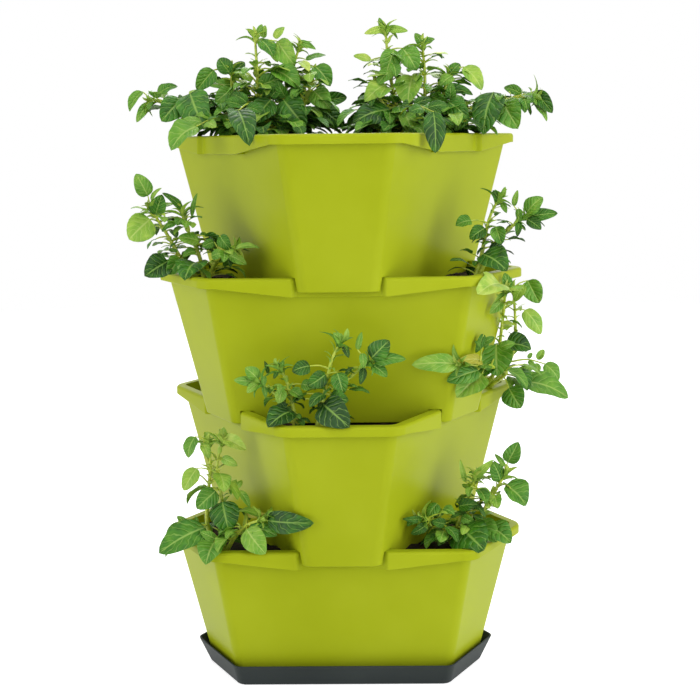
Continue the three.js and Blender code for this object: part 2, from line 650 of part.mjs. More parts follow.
// The place on the soil where a plant stands
function plantRoot({ tier, flat, outShare, acrossShare }) {
  const inTop = flat === undefined;
  const angle = inTop ? -Math.PI / 2 : flatAngle(flat) + tierAngle(tier);
  const rim = potSize(soilTop, -wall);
  const low = inTop ? 0 : potSize(soilTop - tierPitch, 0).long;
  const high = inTop ? rim.long : rim.facet;
  const across = inTop ? rim.long : (2 * rim.long - rim.facet) / Math.sqrt(3);
  const root = new THREE.Vector2(low + (high - low) * outShare, across * acrossShare);
  root.rotateAround(new THREE.Vector2(), angle);
  return new THREE.Vector3(root.x, root.y, tierBottom(tier) + soilTop);
}

// A tapering stem through rings set square to its path
function makeStem(points) {
  const path = new THREE.CatmullRomCurve3(points);
  const last = points.length - 1;
  const rings = points.map((point, index) => {
    const along = path.getTangent(index / last);
    const spin = new THREE.Quaternion().setFromUnitVectors(upward, along);
    const radius = stemFootRadius + ((stemTipRadius - stemFootRadius) * index) / last;
    return Array.from({ length: stemSides }, (_, side) => {
      const angle = (side / stemSides) * 2 * Math.PI;
      const spoke = new THREE.Vector3(Math.cos(angle), Math.sin(angle), 0);
      return spoke.multiplyScalar(radius).applyQuaternion(spin).add(point);
    });
  });
  return loft(rings);
}

// A leaf and its stalk in one run of three-cornered rings: its left edge, right edge and keel.
// Each row is a place along the blade and its half width, both as shares.
const bladeShares = [[0.3, 0.5], [0.66, 0.37], [1, 0]];
const leafArchShare = 0.1;
const leafLiftShare = 0.07;
const leafUpShare = 0.5; // how much a leaf looks up, against how much it looks outward

function makeLeaf(start, base, tip, widthShare, outlook) {
  const length = base.distanceTo(tip);
  const along = tip.clone().sub(base).normalize();
  const arrival = base.clone().sub(start).normalize();
  const facing = outlook.clone().addScaledVector(upward, leafUpShare);
  facing.projectOnPlane(along).normalize();
  const side = facing.clone().cross(along);
  const ring = (middle, heading, halfWidth, lift, keel) => {
    const across = side.clone().projectOnPlane(heading).normalize();
    const up = heading.clone().cross(across);
    const edge = (reach) => middle.clone().addScaledVector(across, reach).addScaledVector(up, lift);
    return [edge(halfWidth), edge(-halfWidth), middle.clone().addScaledVector(up, -keel)];
  };
  const bend = along.clone().add(arrival).normalize();
  const blade = bladeShares.map(([share, halfShare]) => {
    const arch = leafArchShare * length * Math.sin(Math.PI * share);
    const middle = base.clone().addScaledVector(along, share * length).addScaledVector(facing, arch);
    const halfWidth = halfShare * widthShare * length;
    const keel = leafThickness * halfShare * 2;
    return ring(middle, along, halfWidth, leafLiftShare * 2 * halfShare * length, keel);
  });
  return loft([
    ring(start, arrival, stalkRadius / 2, stalkRadius / 4, stalkRadius / 2),
    ring(base, bend, stalkRadius, stalkRadius / 2, stalkRadius),
    ...blade,
  ]);
}

// An upright prism, narrower at the bottom, between two heights
function uprightPrism(centre, low, high, radius, lowShare, sides) {
  const prism = new THREE.CylinderGeometry(radius, radius * lowShare, high - low, sides);
  prism.rotateX(Math.PI / 2);
  prism.translate(centre.x, centre.y, (low + high) / 2);
  return toSolid(prism);
}

// The crown in the soil that a plant's stems grow from
function crownOf(feet) {
  const sum = feet.reduce((total, foot) => total.add(foot), new THREE.Vector3());
  const centre = sum.divideScalar(feet.length);
  const spread = Math.max(...feet.map((foot) => foot.distanceTo(centre)));
  return { centre, radius: spread + 2 * stemFootRadius };
}

// The point on the stems that a leaf's stalk leaves: near its base, rather below it, and from
// where the stalk runs clear of the pots
function stalkStart(stems, base, ownTier) {
  const shares = Array.from({ length: stalkPlaces }, (_, place) => (place + 1 / 2) / stalkPlaces);
  const candidates = stems.flatMap((stem) => stem.slice(2).flatMap((node, index) => {
    return shares.map((share) => stem[index + 1].clone().lerp(node, share));
  }));
  const cost = (node) => {
    const middle = node.clone().lerp(base, 1 / 2);
    const blocked = middle.distanceTo(keepClear(middle, ownTier, stalkRadius));
    return node.distanceTo(base) + Math.max(0, node.z - base.z) + potHeight * Math.sign(blocked);
  };
  return candidates.reduce((best, node) => (cost(node) < cost(best) ? node : best));
}

// The walls and rims of all the pots with a gap all round, which no part of a plant enters
function makePotZone() {
  const low = potHeight - recessSkirtDepth - plantGap;
  const high = potHeight + plantGap;
  const rimSize = potSize(potHeight, flangeReach + plantGap);
  const rim = loft([outline(rimSize, low), outline(rimSize, high)]);
  const inside = potBody(-overrun, high + overrun, -wall - plantGap);
  const zone = potBody(-plantGap, high, plantGap).add(rim).subtract(inside);
  const zones = tierNames.map((_, tier) => {
    const turned = zone.rotate([0, 0, THREE.MathUtils.radToDeg(tierAngle(tier))]);
    return turned.translate([0, 0, tierBottom(tier)]);
  });
  return wasm.Manifold.union(zones);
}

function makePlant(place, potZone) {
  const { stemShares, leafShares } = plantFormShares[place.form];
  const root = plantRoot(place);
  const turn = place.turned ? -1 : 1;
  const outlook = new THREE.Vector3(0, -turn, 0);
  const lean = place.mirrored ? -turn : turn;
  const at = ([x, y, z]) => {
    return new THREE.Vector3(lean * x, turn * y, z).multiplyScalar(place.height).add(root);
  };
  const locate = (shares) => keepClear(at(shares), place.tier, leafClearance);
  const buried = new THREE.Vector3(0, 0, -rootDepth / 2);
  const stemPaths = stemShares.map(([foot, ...shoot]) => {
    const path = new THREE.CatmullRomCurve3([at(foot), ...shoot.map(locate)]);
    return [at(foot).add(buried), ...path.getSpacedPoints(stemSteps)];
  });
  const parts = stemPaths.map(makeStem);
  for (const [baseX, baseY, baseZ, tipX, tipY, tipZ, widthShare] of leafShares) {
    const base = locate([baseX, baseY, baseZ]);
    const tip = locate([tipX, tipY, tipZ]);
    const start = stalkStart(stemPaths, base, place.tier);
    parts.push(makeLeaf(start, base, tip, widthShare, outlook));
  }
  const crown = crownOf(stemPaths.map((points) => points[1]));
  const { centre, radius } = crown;
  const bottom = centre.z - rootDepth;
  parts.push(uprightPrism(centre, bottom, centre.z - crownDepth, radius, 1, crownSides));
  const whole = wasm.Manifold.union(parts).simplify(plantTolerance);
  const bodies = whole.subtract(potZone).simplify(cutTolerance).decompose();
  const solid = bodies.reduce((best, body) => (body.volume() > best.volume() ? body : best));
  return { solid, crown };
}

// Soil fills a pot to below its rim. It is pressed down where the next pot's bottom sinks in,
// and open above the crown of every plant.
function makeSoil(tier, crowns) {
  let soil = potBody(potFloor + soilGap, soilTop, -wall - soilGap);
  for (const flat of facetFlats) soil = soil.subtract(cornerStep(flat, soilGap));
  if (tier < tierNames.length - 1) {
    const above = potBody(-soilGap, soilTop, plugClearance).rotate([0, 0, 180]);
    soil = soil.subtract(above.translate([0, 0, tierPitch]));
  }
  soil = soil.rotate([0, 0, THREE.MathUtils.radToDeg(tierAngle(tier))]);
  soil = soil.translate([0, 0, tierBottom(tier)]);
  for (const { centre, radius } of crowns) {
    const bottom = centre.z - rootDepth - soilGap;
    const hole = radius + 2 * soilGap;
    soil = soil.subtract(uprightPrism(centre, bottom, centre.z + overrun, hole, 1, crownSides));
  }
  return soil;
}

const potPlastic = { color: 0xa9b432, roughness: 0.42, metalness: 0 };
const saucerPlastic = { color: 0x43494a, roughness: 0.5, metalness: 0 };
const pottingSoil = { color: 0x3a2a20, roughness: 0.95, metalness: 0 };
const foliage = { color: 0x4c8030, roughness: 0.6, metalness: 0 };

function addMesh(group, name, solid, finish) {
  const mesh = new THREE.Mesh(toGeometry(solid), new THREE.MeshStandardMaterial(finish));
  mesh.name = name;
  group.add(mesh);
  return mesh;
}

const tower = new THREE.Group();
addMesh(tower, "saucer", makeSaucer().rotate([0, 0, 180]), saucerPlastic);

const potZone = makePotZone();
const plants = Object.entries(plantPlaces).map(([name, place]) => {
  return { name, place, ...makePlant(place, potZone) };
});
const pot = makePot();
tierNames.forEach((tierName, tier) => {
  const potMesh = addMesh(tower, `pot_${tierName}`, pot, potPlastic);
  potMesh.position.z = tierBottom(tier);
  potMesh.rotation.z = tierAngle(tier);
  const rooted = plants.filter(({ place }) => place.tier === tier);
  const crowns = rooted.map((plant) => plant.crown);
  addMesh(tower, `soil_${tierName}`, makeSoil(tier, crowns), pottingSoil);
});
for (const { name, solid } of plants) addMesh(tower, name, solid, foliage);

export default tower;
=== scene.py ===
"""Dresses the vertical planter tower: moulded pots on a saucer, potting soil and potato plants.

Lengths are metres, written as millimetres times MM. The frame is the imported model's own: +Z up,
-Y to the front, the origin in the middle of the saucer's underside.
"""

from __future__ import annotations

import logging
import math
import random
from dataclasses import dataclass, field
from enum import Enum

import bpy
from mathutils import Matrix, Quaternion, Vector, noise
from mathutils.geometry import interpolate_bezier

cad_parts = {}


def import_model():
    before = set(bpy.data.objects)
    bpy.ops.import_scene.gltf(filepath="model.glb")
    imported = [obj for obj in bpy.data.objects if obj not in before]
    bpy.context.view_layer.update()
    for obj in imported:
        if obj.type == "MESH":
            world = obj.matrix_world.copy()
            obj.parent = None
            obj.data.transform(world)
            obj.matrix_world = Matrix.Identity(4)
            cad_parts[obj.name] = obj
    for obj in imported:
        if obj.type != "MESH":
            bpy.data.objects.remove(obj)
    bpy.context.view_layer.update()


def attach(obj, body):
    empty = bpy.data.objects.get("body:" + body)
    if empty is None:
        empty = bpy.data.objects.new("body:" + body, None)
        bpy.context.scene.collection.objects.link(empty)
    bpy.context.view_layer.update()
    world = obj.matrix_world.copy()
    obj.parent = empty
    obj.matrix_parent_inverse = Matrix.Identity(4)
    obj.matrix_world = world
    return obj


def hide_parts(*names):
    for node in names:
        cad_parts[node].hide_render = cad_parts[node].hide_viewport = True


LOG = logging.getLogger("planter_tower")

Ring = list[Vector]
Shares = tuple[float, ...]
Span = tuple[float, float]
Place = tuple[float, float, float]
Ramp = tuple[tuple[float, str], ...]
Socket = bpy.types.NodeSocket
Inputs = dict[str | int, object]

MM = 0.001
UP = Vector((0, 0, 1))
FULL_TURN = 2 * math.pi
SHARP_EDGE = math.radians(38)
WHITE = (1.0, 1.0, 1.0, 1.0)

# A pot has six flats, counter-clockwise from the front: corner facets and long sides by turns.
FLATS = range(6)
FACETS = (0, 2, 4)
FLATS_IN_HALF_TURN = 3

# A leaf blade carries its own coordinates in this attribute of the mesh.
BLADE_LAYER = "blade"

# Young leaves follow each other round a shoot by this angle.
SPIRAL_TURN = math.radians(137.5)

# Ages of a blade on a scale from 0, old and deep green. No fresh blade is younger than the first.
YOUNGEST = 0.8
FADED = 2.0


class Join(Enum):
    """How one closed mesh is combined with another."""

    ADD = "UNION"
    CUT = "DIFFERENCE"
    KEEP_COMMON = "INTERSECT"


class Growth(Enum):
    """The shapes that the plants of the tower have grown into."""

    BUSHY_LEFT = "bushy, arching to the left"
    BUSHY_RIGHT = "bushy, arching to the right"
    SPREADING = "leaning out to one side"
    UPRIGHT = "two upright shoots"
    TRAILING = "tall, with leaves that hang"
    REACHING = "tall, reaching round the corner"
    YOUNG = "a young shoot"


def flat_angle(flat: int) -> float:
    """Direction that a flat side of a pot faces, in radians. Even flats are corner facets."""
    return -math.pi / 2 + flat * math.pi / FLATS_IN_HALF_TURN


def turned(point: Vector, angle: float) -> Vector:
    """The point turned about the upright axis."""
    return Matrix.Rotation(angle, 3, "Z") @ point


def level(angle: float) -> Vector:
    """The level direction at an angle."""
    return turned(Vector((1, 0, 0)), angle)


def smooth_step(share: float) -> float:
    """Eases a share between 0 and 1 in and out."""
    share = min(1.0, max(0.0, share))
    return share * share * (3 - 2 * share)


def quarter_round(radius: float, steps: int) -> list[Span]:
    """Points of a rounded edge.

    Args:
        radius: the radius of the round.
        steps: the number of steps along it.

    Returns:
        Distances from the first and from the second of the two faces that the round joins, from
        its end on the second face to its end on the first.
    """
    angles = [step / steps * math.pi / 2 for step in range(steps + 1)]
    return [(radius * (1 - math.sin(angle)), radius * (1 - math.cos(angle))) for angle in angles]


def linear_colour(hex_code: str) -> tuple[float, float, float, float]:
    """Turns an sRGB hex colour to linear light.

    Args:
        hex_code: six hex digits, red first.

    Returns:
        Red, green, blue and an alpha of 1.
    """
    channels = [int(hex_code[at : at + 2], 16) / 255 for at in (0, 2, 4)]
    linear = [c / 12.92 if c <= 0.04045 else ((c + 0.055) / 1.055) ** 2.4 for c in channels]
    return (linear[0], linear[1], linear[2], 1.0)


def pattern_scale(size: float) -> float:
    """Scale of a pattern, in cells per metre, from the real size of one cell."""
    return 1 / size


def feed(node: bpy.types.Node, inputs: Inputs) -> None:
    """Fills inputs of a node.

    Args:
        node: the node.
        inputs: for each named or numbered input a value, an output socket, or another node,
            which stands for its first output.
    """
    for key, value in inputs.items():
        if isinstance(value, bpy.types.Node):
            value = value.outputs[0]
        if isinstance(value, Socket):
            node.id_data.links.new(value, node.inputs[key])
        else:
            node.inputs[key].default_value = value


def add_node(
    tree: bpy.types.NodeTree,
    kind: str,
    settings: dict[str, object] | None = None,
    inputs: Inputs | None = None,
    stops: Ramp = (),
) -> bpy.types.Node:
    """Adds one shader node with its settings and links.

    Args:
        tree: the material's node tree.
        kind: the node's type name.
        settings: properties of the node.
        inputs: what its inputs are filled with.
        stops: the places on a colour ramp, in order, each with its hex colour.

    Returns:
        The new node.
    """
    node = tree.nodes.new(kind)
    for name, value in (settings or {}).items():
        setattr(node, name, value)
    for index, (place, hex_code) in enumerate(stops):
        elements = node.color_ramp.elements
        element = elements.new(place) if index >= len(elements) else elements[index]
        element.position = place
        element.color = linear_colour(hex_code)
    feed(node, inputs or {})
    return node


def start_material(name: str) -> tuple[bpy.types.Material, bpy.types.Node]:
    """Makes a material with a bare surface shader.

    Args:
        name: the material's name.

    Returns:
        The material and its shader.
    """
    material = bpy.data.materials.new(name)
    material.use_nodes = True
    return material, material.node_tree.nodes["Principled BSDF"]


@dataclass(frozen=True)
class MouldedPolypropylene:
    """Injection-moulded polypropylene: an even satin skin with a fine spark-eroded grain.

    To the eye it is a clear colour with a broad soft highlight, a little uneven where the melt
    flowed, and a grain too fine to resolve, drawn here as coarse as it needs to show.
    """

    name: str
    flow_colours: tuple[str, str, str]
    flow: float = 160 * MM
    flow_detail: float = 3.0
    flow_range: Span = (0.3, 0.7)
    grain: float = 0.9 * MM
    grain_detail: float = 1.0
    grain_depth: float = 0.02 * MM
    grain_strength: float = 0.6
    roughness: float = 0.34
    roughness_change: Span = (-0.04, 0.05)
    ior: float = 1.49
    gloss: float = 0.06

    def material(self) -> bpy.types.Material:
        """Builds the finish.

        Returns:
            The material.
        """
        material, shader = start_material(self.name)
        tree = material.node_tree
        place = {"Vector": add_node(tree, "ShaderNodeTexCoord").outputs["Object"]}
        cells = {"Scale": pattern_scale(self.flow), "Detail": self.flow_detail}
        flow = add_node(tree, "ShaderNodeTexNoise", inputs=place | cells)
        cells = {"Scale": pattern_scale(self.grain), "Detail": self.grain_detail}
        grain = add_node(tree, "ShaderNodeTexNoise", inputs=place | cells)
        low, high = self.flow_range
        stops = tuple(zip((low, (low + high) / 2, high), self.flow_colours))
        smoother, rougher = (self.roughness + change for change in self.roughness_change)
        ends = {"From Min": low, "From Max": high, "To Min": smoother, "To Max": rougher}
        relief = {"Height": grain, "Distance": self.grain_depth, "Strength": self.grain_strength}
        inputs = {
            "Base Color": add_node(tree, "ShaderNodeValToRGB", inputs={"Fac": flow}, stops=stops),
            "Roughness": add_node(tree, "ShaderNodeMapRange", inputs={"Value": flow} | ends),
            "Normal": add_node(tree, "ShaderNodeBump", inputs=relief),
            "IOR": self.ior,
            "Specular IOR Level": self.gloss,
        }
        feed(shader, inputs)
        return material


@dataclass(frozen=True)
class PottingSoil:
    """Peat-free potting compost, poured loose: matt dark crumbs with paler bark and fibre."""

    name: str = "loose_potting_compost"
    earth_colours: Ramp = ((0.3, "0c0907"), (0.5, "1e1511"), (0.72, "3a291f"))
    bark_colours: Ramp = ((0.2, "15100d"), (0.75, "2c1e17"), (0.95, "664a33"))
    bark: float = 9 * MM
    bark_share: float = 0.35
    crumb: float = 4 * MM
    crumb_detail: float = 6.0
    crumb_depth: float = 1.2 * MM
    crumb_strength: float = 0.8
    roughness: float = 0.95
    gloss: float = 0.25

    def material(self) -> bpy.types.Material:
        """Builds the finish.

        Returns:
            The material.
        """
        material, shader = start_material(self.name)
        tree = material.node_tree
        place = {"Vector": add_node(tree, "ShaderNodeTexCoord").outputs["Object"]}
        cells = {"Scale": pattern_scale(self.crumb), "Detail": self.crumb_detail}
        crumbs = add_node(tree, "ShaderNodeTexNoise", inputs=place | cells)
        cells = {"Scale": pattern_scale(self.bark)}
        bark = add_node(tree, "ShaderNodeTexVoronoi", inputs=place | cells).outputs["Color"]
        mixed = {
            0: self.bark_share,
            6: add_node(tree, "ShaderNodeValToRGB", None, {"Fac": crumbs}, self.earth_colours),
            7: add_node(tree, "ShaderNodeValToRGB", None, {"Fac": bark}, self.bark_colours),
        }
        colour = add_node(tree, "ShaderNodeMix", {"data_type": "RGBA"}, mixed)
        relief = {"Height": crumbs, "Distance": self.crumb_depth, "Strength": self.crumb_strength}
        inputs = {
            "Base Color": colour.outputs[2],
            "Roughness": self.roughness,
            "Normal": add_node(tree, "ShaderNodeBump", inputs=relief),
            "Specular IOR Level": self.gloss,
        }
        feed(shader, inputs)
        return material


@dataclass(frozen=True)
class PotatoLeaf:
    """A potato leaf: a soft satin blade, quilted between pale sunken veins.

    The blade layer of the mesh holds the place along the blade, the place across it from -1 to
    1, and how young the leaf is. A young leaf is yellow-green, an old one deep green, and one
    past 1 has faded to straw yellow. The edges of the side veins and of the quilt are shares of
    the distance between two side veins, and those of the midrib are shares of the half width.
    """

    name: str = "potato_leaf"
    blade_colours: Ramp = (
        (0.05, "1a420a"),
        (0.28, "3f7a19"),
        (0.5, "679c2d"),
        (0.7, "95ba42"),
        (0.92, "cad864"),
        (1.0, "a5a42e"),
    )
    vein_colours: Ramp = ((0.1, "93bb54"), (0.9, "d2de80"))
    vein_strength: float = 0.62
    vein_pairs: float = 5.5
    vein_slant_share: float = 0.32
    side_vein_edge: float = 0.1
    side_vein_strength: float = 0.7
    midrib_edges: Span = (0.02, 0.1)
    wander: float = 9 * MM
    wander_detail: float = 1.0
    wander_share: float = 0.2
    mottle: float = 14 * MM
    mottle_detail: float = 3.0
    mottle_range: float = 0.6
    quilt_depth: float = 1.3 * MM
    quilt_edge: float = 0.4
    quilt_slope: float = 1.5
    quilted_age: Span = (0.25, 0.7)
    quilt_strength: Span = (0.85, 0.15)
    roughness: float = 0.46
    gloss: float = 0.3

    def veins(
        self, tree: bpy.types.NodeTree, place: Inputs, along: Socket, across: bpy.types.Node
    ) -> tuple[bpy.types.Node, bpy.types.Node]:
        """Adds the midrib and the slanting side veins.

        Args:
            tree: the material's node tree.
            place: the place on the object, as an input of a pattern.
            along: the place along the blade.
            across: the distance from the midrib.

        Returns:
            How much of a vein there is, and the distance from the nearest side vein.
        """
        cells = {"Scale": pattern_scale(self.wander), "Detail": self.wander_detail}
        wander = add_node(tree, "ShaderNodeTexNoise", inputs=place | cells)
        adding = {"operation": "MULTIPLY_ADD"}
        curved = {0: wander, 1: self.wander_share, 2: along}
        curve = add_node(tree, "ShaderNodeMath", adding, curved)
        slanted = {0: across, 1: -self.vein_slant_share, 2: curve}
        slant = add_node(tree, "ShaderNodeMath", adding, slanted)
        counted = {0: slant, 1: self.vein_pairs}
        rows = add_node(tree, "ShaderNodeMath", {"operation": "MULTIPLY"}, counted)
        from_vein = add_node(tree, "ShaderNodeMath", {"operation": "PINGPONG"}, {0: rows, 1: 0.5})
        smooth = {"interpolation_type": "SMOOTHSTEP"}
        side = {"From Max": self.side_vein_edge, "To Min": self.side_vein_strength, "To Max": 0.0}
        core, edge = self.midrib_edges
        middle = {"From Min": core, "From Max": edge, "To Min": 1.0, "To Max": 0.0}
        both = {
            0: add_node(tree, "ShaderNodeMapRange", smooth, {"Value": from_vein} | side),
            1: add_node(tree, "ShaderNodeMapRange", smooth, {"Value": across} | middle),
        }
        return add_node(tree, "ShaderNodeMath", {"operation": "MAXIMUM"}, both), from_vein

    def quilt(
        self,
        tree: bpy.types.NodeTree,
        from_vein: bpy.types.Node,
        across: bpy.types.Node,
        youth: Socket,
    ) -> bpy.types.Node:
        """Adds the relief between the veins, which is shallow on a young leaf.

        Args:
            tree: the material's node tree.
            from_vein: the distance from the nearest side vein.
            across: the distance from the midrib.
            youth: how young the leaf is.

        Returns:
            The relief.
        """
        steep = {0: across, 1: self.quilt_slope}
        nearest = {
            0: from_vein,
            1: add_node(tree, "ShaderNodeMath", {"operation": "MULTIPLY"}, steep),
        }
        swell = {
            "Value": add_node(tree, "ShaderNodeMath", {"operation": "MINIMUM"}, nearest),
            "From Max": self.quilt_edge,
        }
        old, young = self.quilted_age
        deep, shallow = self.quilt_strength
        fading = {"From Min": old, "From Max": young, "To Min": deep, "To Max": shallow}
        smooth = {"interpolation_type": "SMOOTHSTEP"}
        relief = {
            "Height": add_node(tree, "ShaderNodeMapRange", smooth, swell),
            "Distance": self.quilt_depth,
            "Strength": add_node(tree, "ShaderNodeMapRange", None, {"Value": youth} | fading),
        }
        return add_node(tree, "ShaderNodeBump", None, relief)

    def material(self) -> bpy.types.Material:
        """Builds the finish.

        Returns:
            The material.
        """
        material, shader = start_material(self.name)
        tree = material.node_tree
        place = {"Vector": add_node(tree, "ShaderNodeTexCoord").outputs["Object"]}
        blade = add_node(tree, "ShaderNodeAttribute", {"attribute_name": BLADE_LAYER})
        parts = add_node(tree, "ShaderNodeSeparateXYZ", inputs={0: blade.outputs["Vector"]})
        along, side, youth = parts.outputs
        across = add_node(tree, "ShaderNodeMath", {"operation": "ABSOLUTE"}, {0: side})
        veins, from_vein = self.veins(tree, place, along, across)
        cells = {"Scale": pattern_scale(self.mottle), "Detail": self.mottle_detail}
        mottle = add_node(tree, "ShaderNodeTexNoise", inputs=place | cells)
        older = {0: youth, 1: self.mottle_range / 2}
        lowest = add_node(tree, "ShaderNodeMath", {"operation": "SUBTRACT"}, older)
        spread = {0: mottle, 1: self.mottle_range, 2: lowest}
        mottled = add_node(tree, "ShaderNodeMath", {"operation": "MULTIPLY_ADD"}, spread)
        pale = {0: veins, 1: self.vein_strength}
        mixed = {
            0: add_node(tree, "ShaderNodeMath", {"operation": "MULTIPLY"}, pale),
            6: add_node(tree, "ShaderNodeValToRGB", None, {"Fac": mottled}, self.blade_colours),
            7: add_node(tree, "ShaderNodeValToRGB", None, {"Fac": youth}, self.vein_colours),
        }
        colour = add_node(tree, "ShaderNodeMix", {"data_type": "RGBA"}, mixed)
        inputs = {
            "Base Color": colour.outputs[2],
            "Roughness": self.roughness,
            "Normal": self.quilt(tree, from_vein, across, youth),
            "Specular IOR Level": self.gloss,
        }
        feed(shader, inputs)
        return material


@dataclass(frozen=True)
class PotatoStem:
    """A potato stem or leaf stalk: smooth, juicy and translucent, pale yellow-green."""

    name: str = "potato_stem"
    streak_colours: Ramp = ((0.3, "9ab030"), (0.55, "b9ca3e"), (0.75, "d2dc58"))
    streak: float = 5 * MM
    streak_detail: float = 2.0
    roughness: float = 0.42
    glow_share: float = 0.15
    glow_depths: tuple[float, float, float] = (0.8 * MM, 1.2 * MM, 0.4 * MM)

    def material(self) -> bpy.types.Material:
        """Builds the finish.

        Returns:
            The material.
        """
        material, shader = start_material(self.name)
        tree = material.node_tree
        place = {"Vector": add_node(tree, "ShaderNodeTexCoord").outputs["Object"]}
        cells = {"Scale": pattern_scale(self.streak), "Detail": self.streak_detail}
        streaks = add_node(tree, "ShaderNodeTexNoise", inputs=place | cells)
        stops = self.streak_colours
        inputs = {
            "Base Color": add_node(tree, "ShaderNodeValToRGB", None, {"Fac": streaks}, stops),
            "Roughness": self.roughness,
            "Subsurface Weight": self.glow_share,
            "Subsurface Radius": self.glow_depths,
            "Subsurface Scale": 1.0,
        }
        feed(shader, inputs)
        return material


LIME_POLYPROPYLENE = MouldedPolypropylene("lime_polypropylene", ("a0ac17", "a5b11c", "abb723"))
GREY_POLYPROPYLENE = MouldedPolypropylene(
    "dark_grey_polypropylene", ("2f3535", "343a3a", "3a4040"), roughness=0.48
)


@dataclass
class MeshDraft:
    """Points, faces and the blade layer of a mesh that is being put together."""

    points: list[Vector] = field(default_factory=list)
    faces: list[tuple[int, ...]] = field(default_factory=list)
    blade: list[Vector] = field(default_factory=list)

    def add_loft(self, rings: list[Ring], closed: bool = False) -> None:
        """Adds a skin through rings of equal length.

        Args:
            rings: the rings, each running counter-clockwise seen from the next one's side.
            closed: whether the last ring joins the first. Otherwise both ends are capped.
        """
        start, count = len(self.points), len(rings[0])
        for ring in rings:
            self.points.extend(ring)
        spans = len(rings) if closed else len(rings) - 1
        for span in range(spans):
            low = start + span * count
            high = start + (span + 1) % len(rings) * count
            for i in range(count):
                j = (i + 1) % count
                self.faces.append((low + i, low + j, high + j, high + i))
        if not closed:
            last = start + (len(rings) - 1) * count
            self.faces.append(tuple(reversed(range(start, start + count))))
            self.faces.append(tuple(range(last, last + count)))

    def mesh(self, name: str) -> bpy.types.Mesh:
        """Makes the Blender mesh, smooth but for its real edges.

        Args:
            name: the mesh's name.

        Returns:
            The mesh, with its blade layer where it has one.
        """
        mesh = bpy.data.meshes.new(name)
        mesh.from_pydata([tuple(point) for point in self.points], [], self.faces)
        if self.blade:
            layer = mesh.attributes.new(BLADE_LAYER, "FLOAT_VECTOR", "POINT")
            layer.data.foreach_set("vector", [value for row in self.blade for value in row])
        mesh.shade_smooth()
        mesh.set_sharp_from_angle(angle=SHARP_EDGE)
        return mesh


def loft_mesh(name: str, rings: list[Ring], closed: bool = False) -> bpy.types.Mesh:
    """A closed mesh through rings of points.

    Args:
        name: the mesh's name.
        rings: the rings, as MeshDraft.add_loft takes them.
        closed: whether the last ring joins the first.

    Returns:
        The mesh.
    """
    draft = MeshDraft()
    draft.add_loft(rings, closed)
    return draft.mesh(name)


def prism_mesh(
    name: str, plan: list[tuple[float, float]], angle: float, low: float, high: float
) -> bpy.types.Mesh:
    """An upright prism.

    Args:
        name: the mesh's name.
        plan: its outline, counter-clockwise, as if it lay along X.
        angle: how far the outline is turned about the upright axis.
        low: height of its underside.
        high: height of its top.

    Returns:
        The closed mesh.
    """
    heights = (low, high)
    rings = [[turned(Vector((x, y, z)), angle) for x, y in plan] for z in heights]
    return loft_mesh(name, rings)


def add_object(name: str, mesh: bpy.types.Mesh, *finishes: bpy.types.Material) -> bpy.types.Object:
    """Puts a mesh into the scene as an object with its finishes.

    Args:
        name: the object's name.
        mesh: its mesh.
        finishes: its materials, in place of those that the mesh has.

    Returns:
        The object.
    """
    piece = bpy.data.objects.new(name, mesh)
    if finishes:
        mesh.materials.clear()
    for finish in finishes:
        mesh.materials.append(finish)
    bpy.context.scene.collection.objects.link(piece)
    return piece


def combine(first: bpy.types.Mesh, second: bpy.types.Mesh, join: Join) -> bpy.types.Mesh:
    """Joins or cuts two closed meshes.

    Args:
        first: the mesh that is worked on.
        second: the mesh that is added to it or taken from it.
        join: what is done.

    Returns:
        The resulting mesh. The two others are deleted.
    """
    work, tool = add_object("work", first), add_object("tool", second)
    modifier = work.modifiers.new("join", "BOOLEAN")
    modifier.operation = join.value
    modifier.solver = "MANIFOLD"
    modifier.object = tool
    bpy.context.view_layer.update()
    evaluated = work.evaluated_get(bpy.context.evaluated_depsgraph_get())
    result = bpy.data.meshes.new_from_object(evaluated)
    for piece in (work, tool):
        bpy.data.objects.remove(piece)
    for mesh in (first, second):
        bpy.data.meshes.remove(mesh)
    result.shade_smooth()
    result.set_sharp_from_angle(angle=SHARP_EDGE)
    return result


@dataclass(frozen=True)
class PlanSize:
    """Plan of a pot or saucer at one height: distances of its flats, and its corner radius."""

    long: float
    facet: float
    radius: float

    def apothem(self, flat: int) -> float:
        """Distance from the axis to a flat."""
        return self.facet if flat % len(FLATS) in FACETS else self.long

    def corner_centre(self, flat: int) -> Vector:
        """Centre of the round between a flat and the next.

        Args:
            flat: the flat before the round.

        Returns:
            The centre, at no height.
        """
        first, second = flat_angle(flat), flat_angle(flat + 1)
        near = self.apothem(flat) - self.radius
        far = self.apothem(flat + 1) - self.radius
        det = math.sin(second - first)
        x = (near * math.sin(second) - far * math.sin(first)) / det
        y = (far * math.cos(first) - near * math.cos(second)) / det
        return Vector((x, y, 0))

    def corner(self, flat: int, steps: int) -> list[tuple[Vector, Vector]]:
        """The round between a flat and the next.

        Args:
            flat: the flat before the round.
            steps: the number of steps along it.

        Returns:
            Its points, each with its outward direction.
        """
        centre = self.corner_centre(flat)
        turns = [step / steps * math.pi / FLATS_IN_HALF_TURN for step in range(steps + 1)]
        normals = [level(flat_angle(flat) + turn) for turn in turns]
        return [(centre + normal * self.radius, normal) for normal in normals]

    def outline(self, z: float, steps: int) -> Ring:
        """The whole outline at a height."""
        rounds = [point for flat in FLATS for point, _ in self.corner(flat, steps)]
        return [Vector((point.x, point.y, z)) for point in rounds]

    def depth_outside(self, point: Vector) -> tuple[float, Vector]:
        """How far a point lies outside the outline.

        Args:
            point: the point, whose height doesn't count.

        Returns:
            The distance, which is negative inside, and the way out.
        """
        normals = [level(flat_angle(flat)) for flat in FLATS]
        depths = [normal.dot(point) - self.apothem(flat) for flat, normal in zip(FLATS, normals)]
        deepest = max(FLATS, key=lambda flat: depths[flat])
        return depths[deepest], normals[deepest]


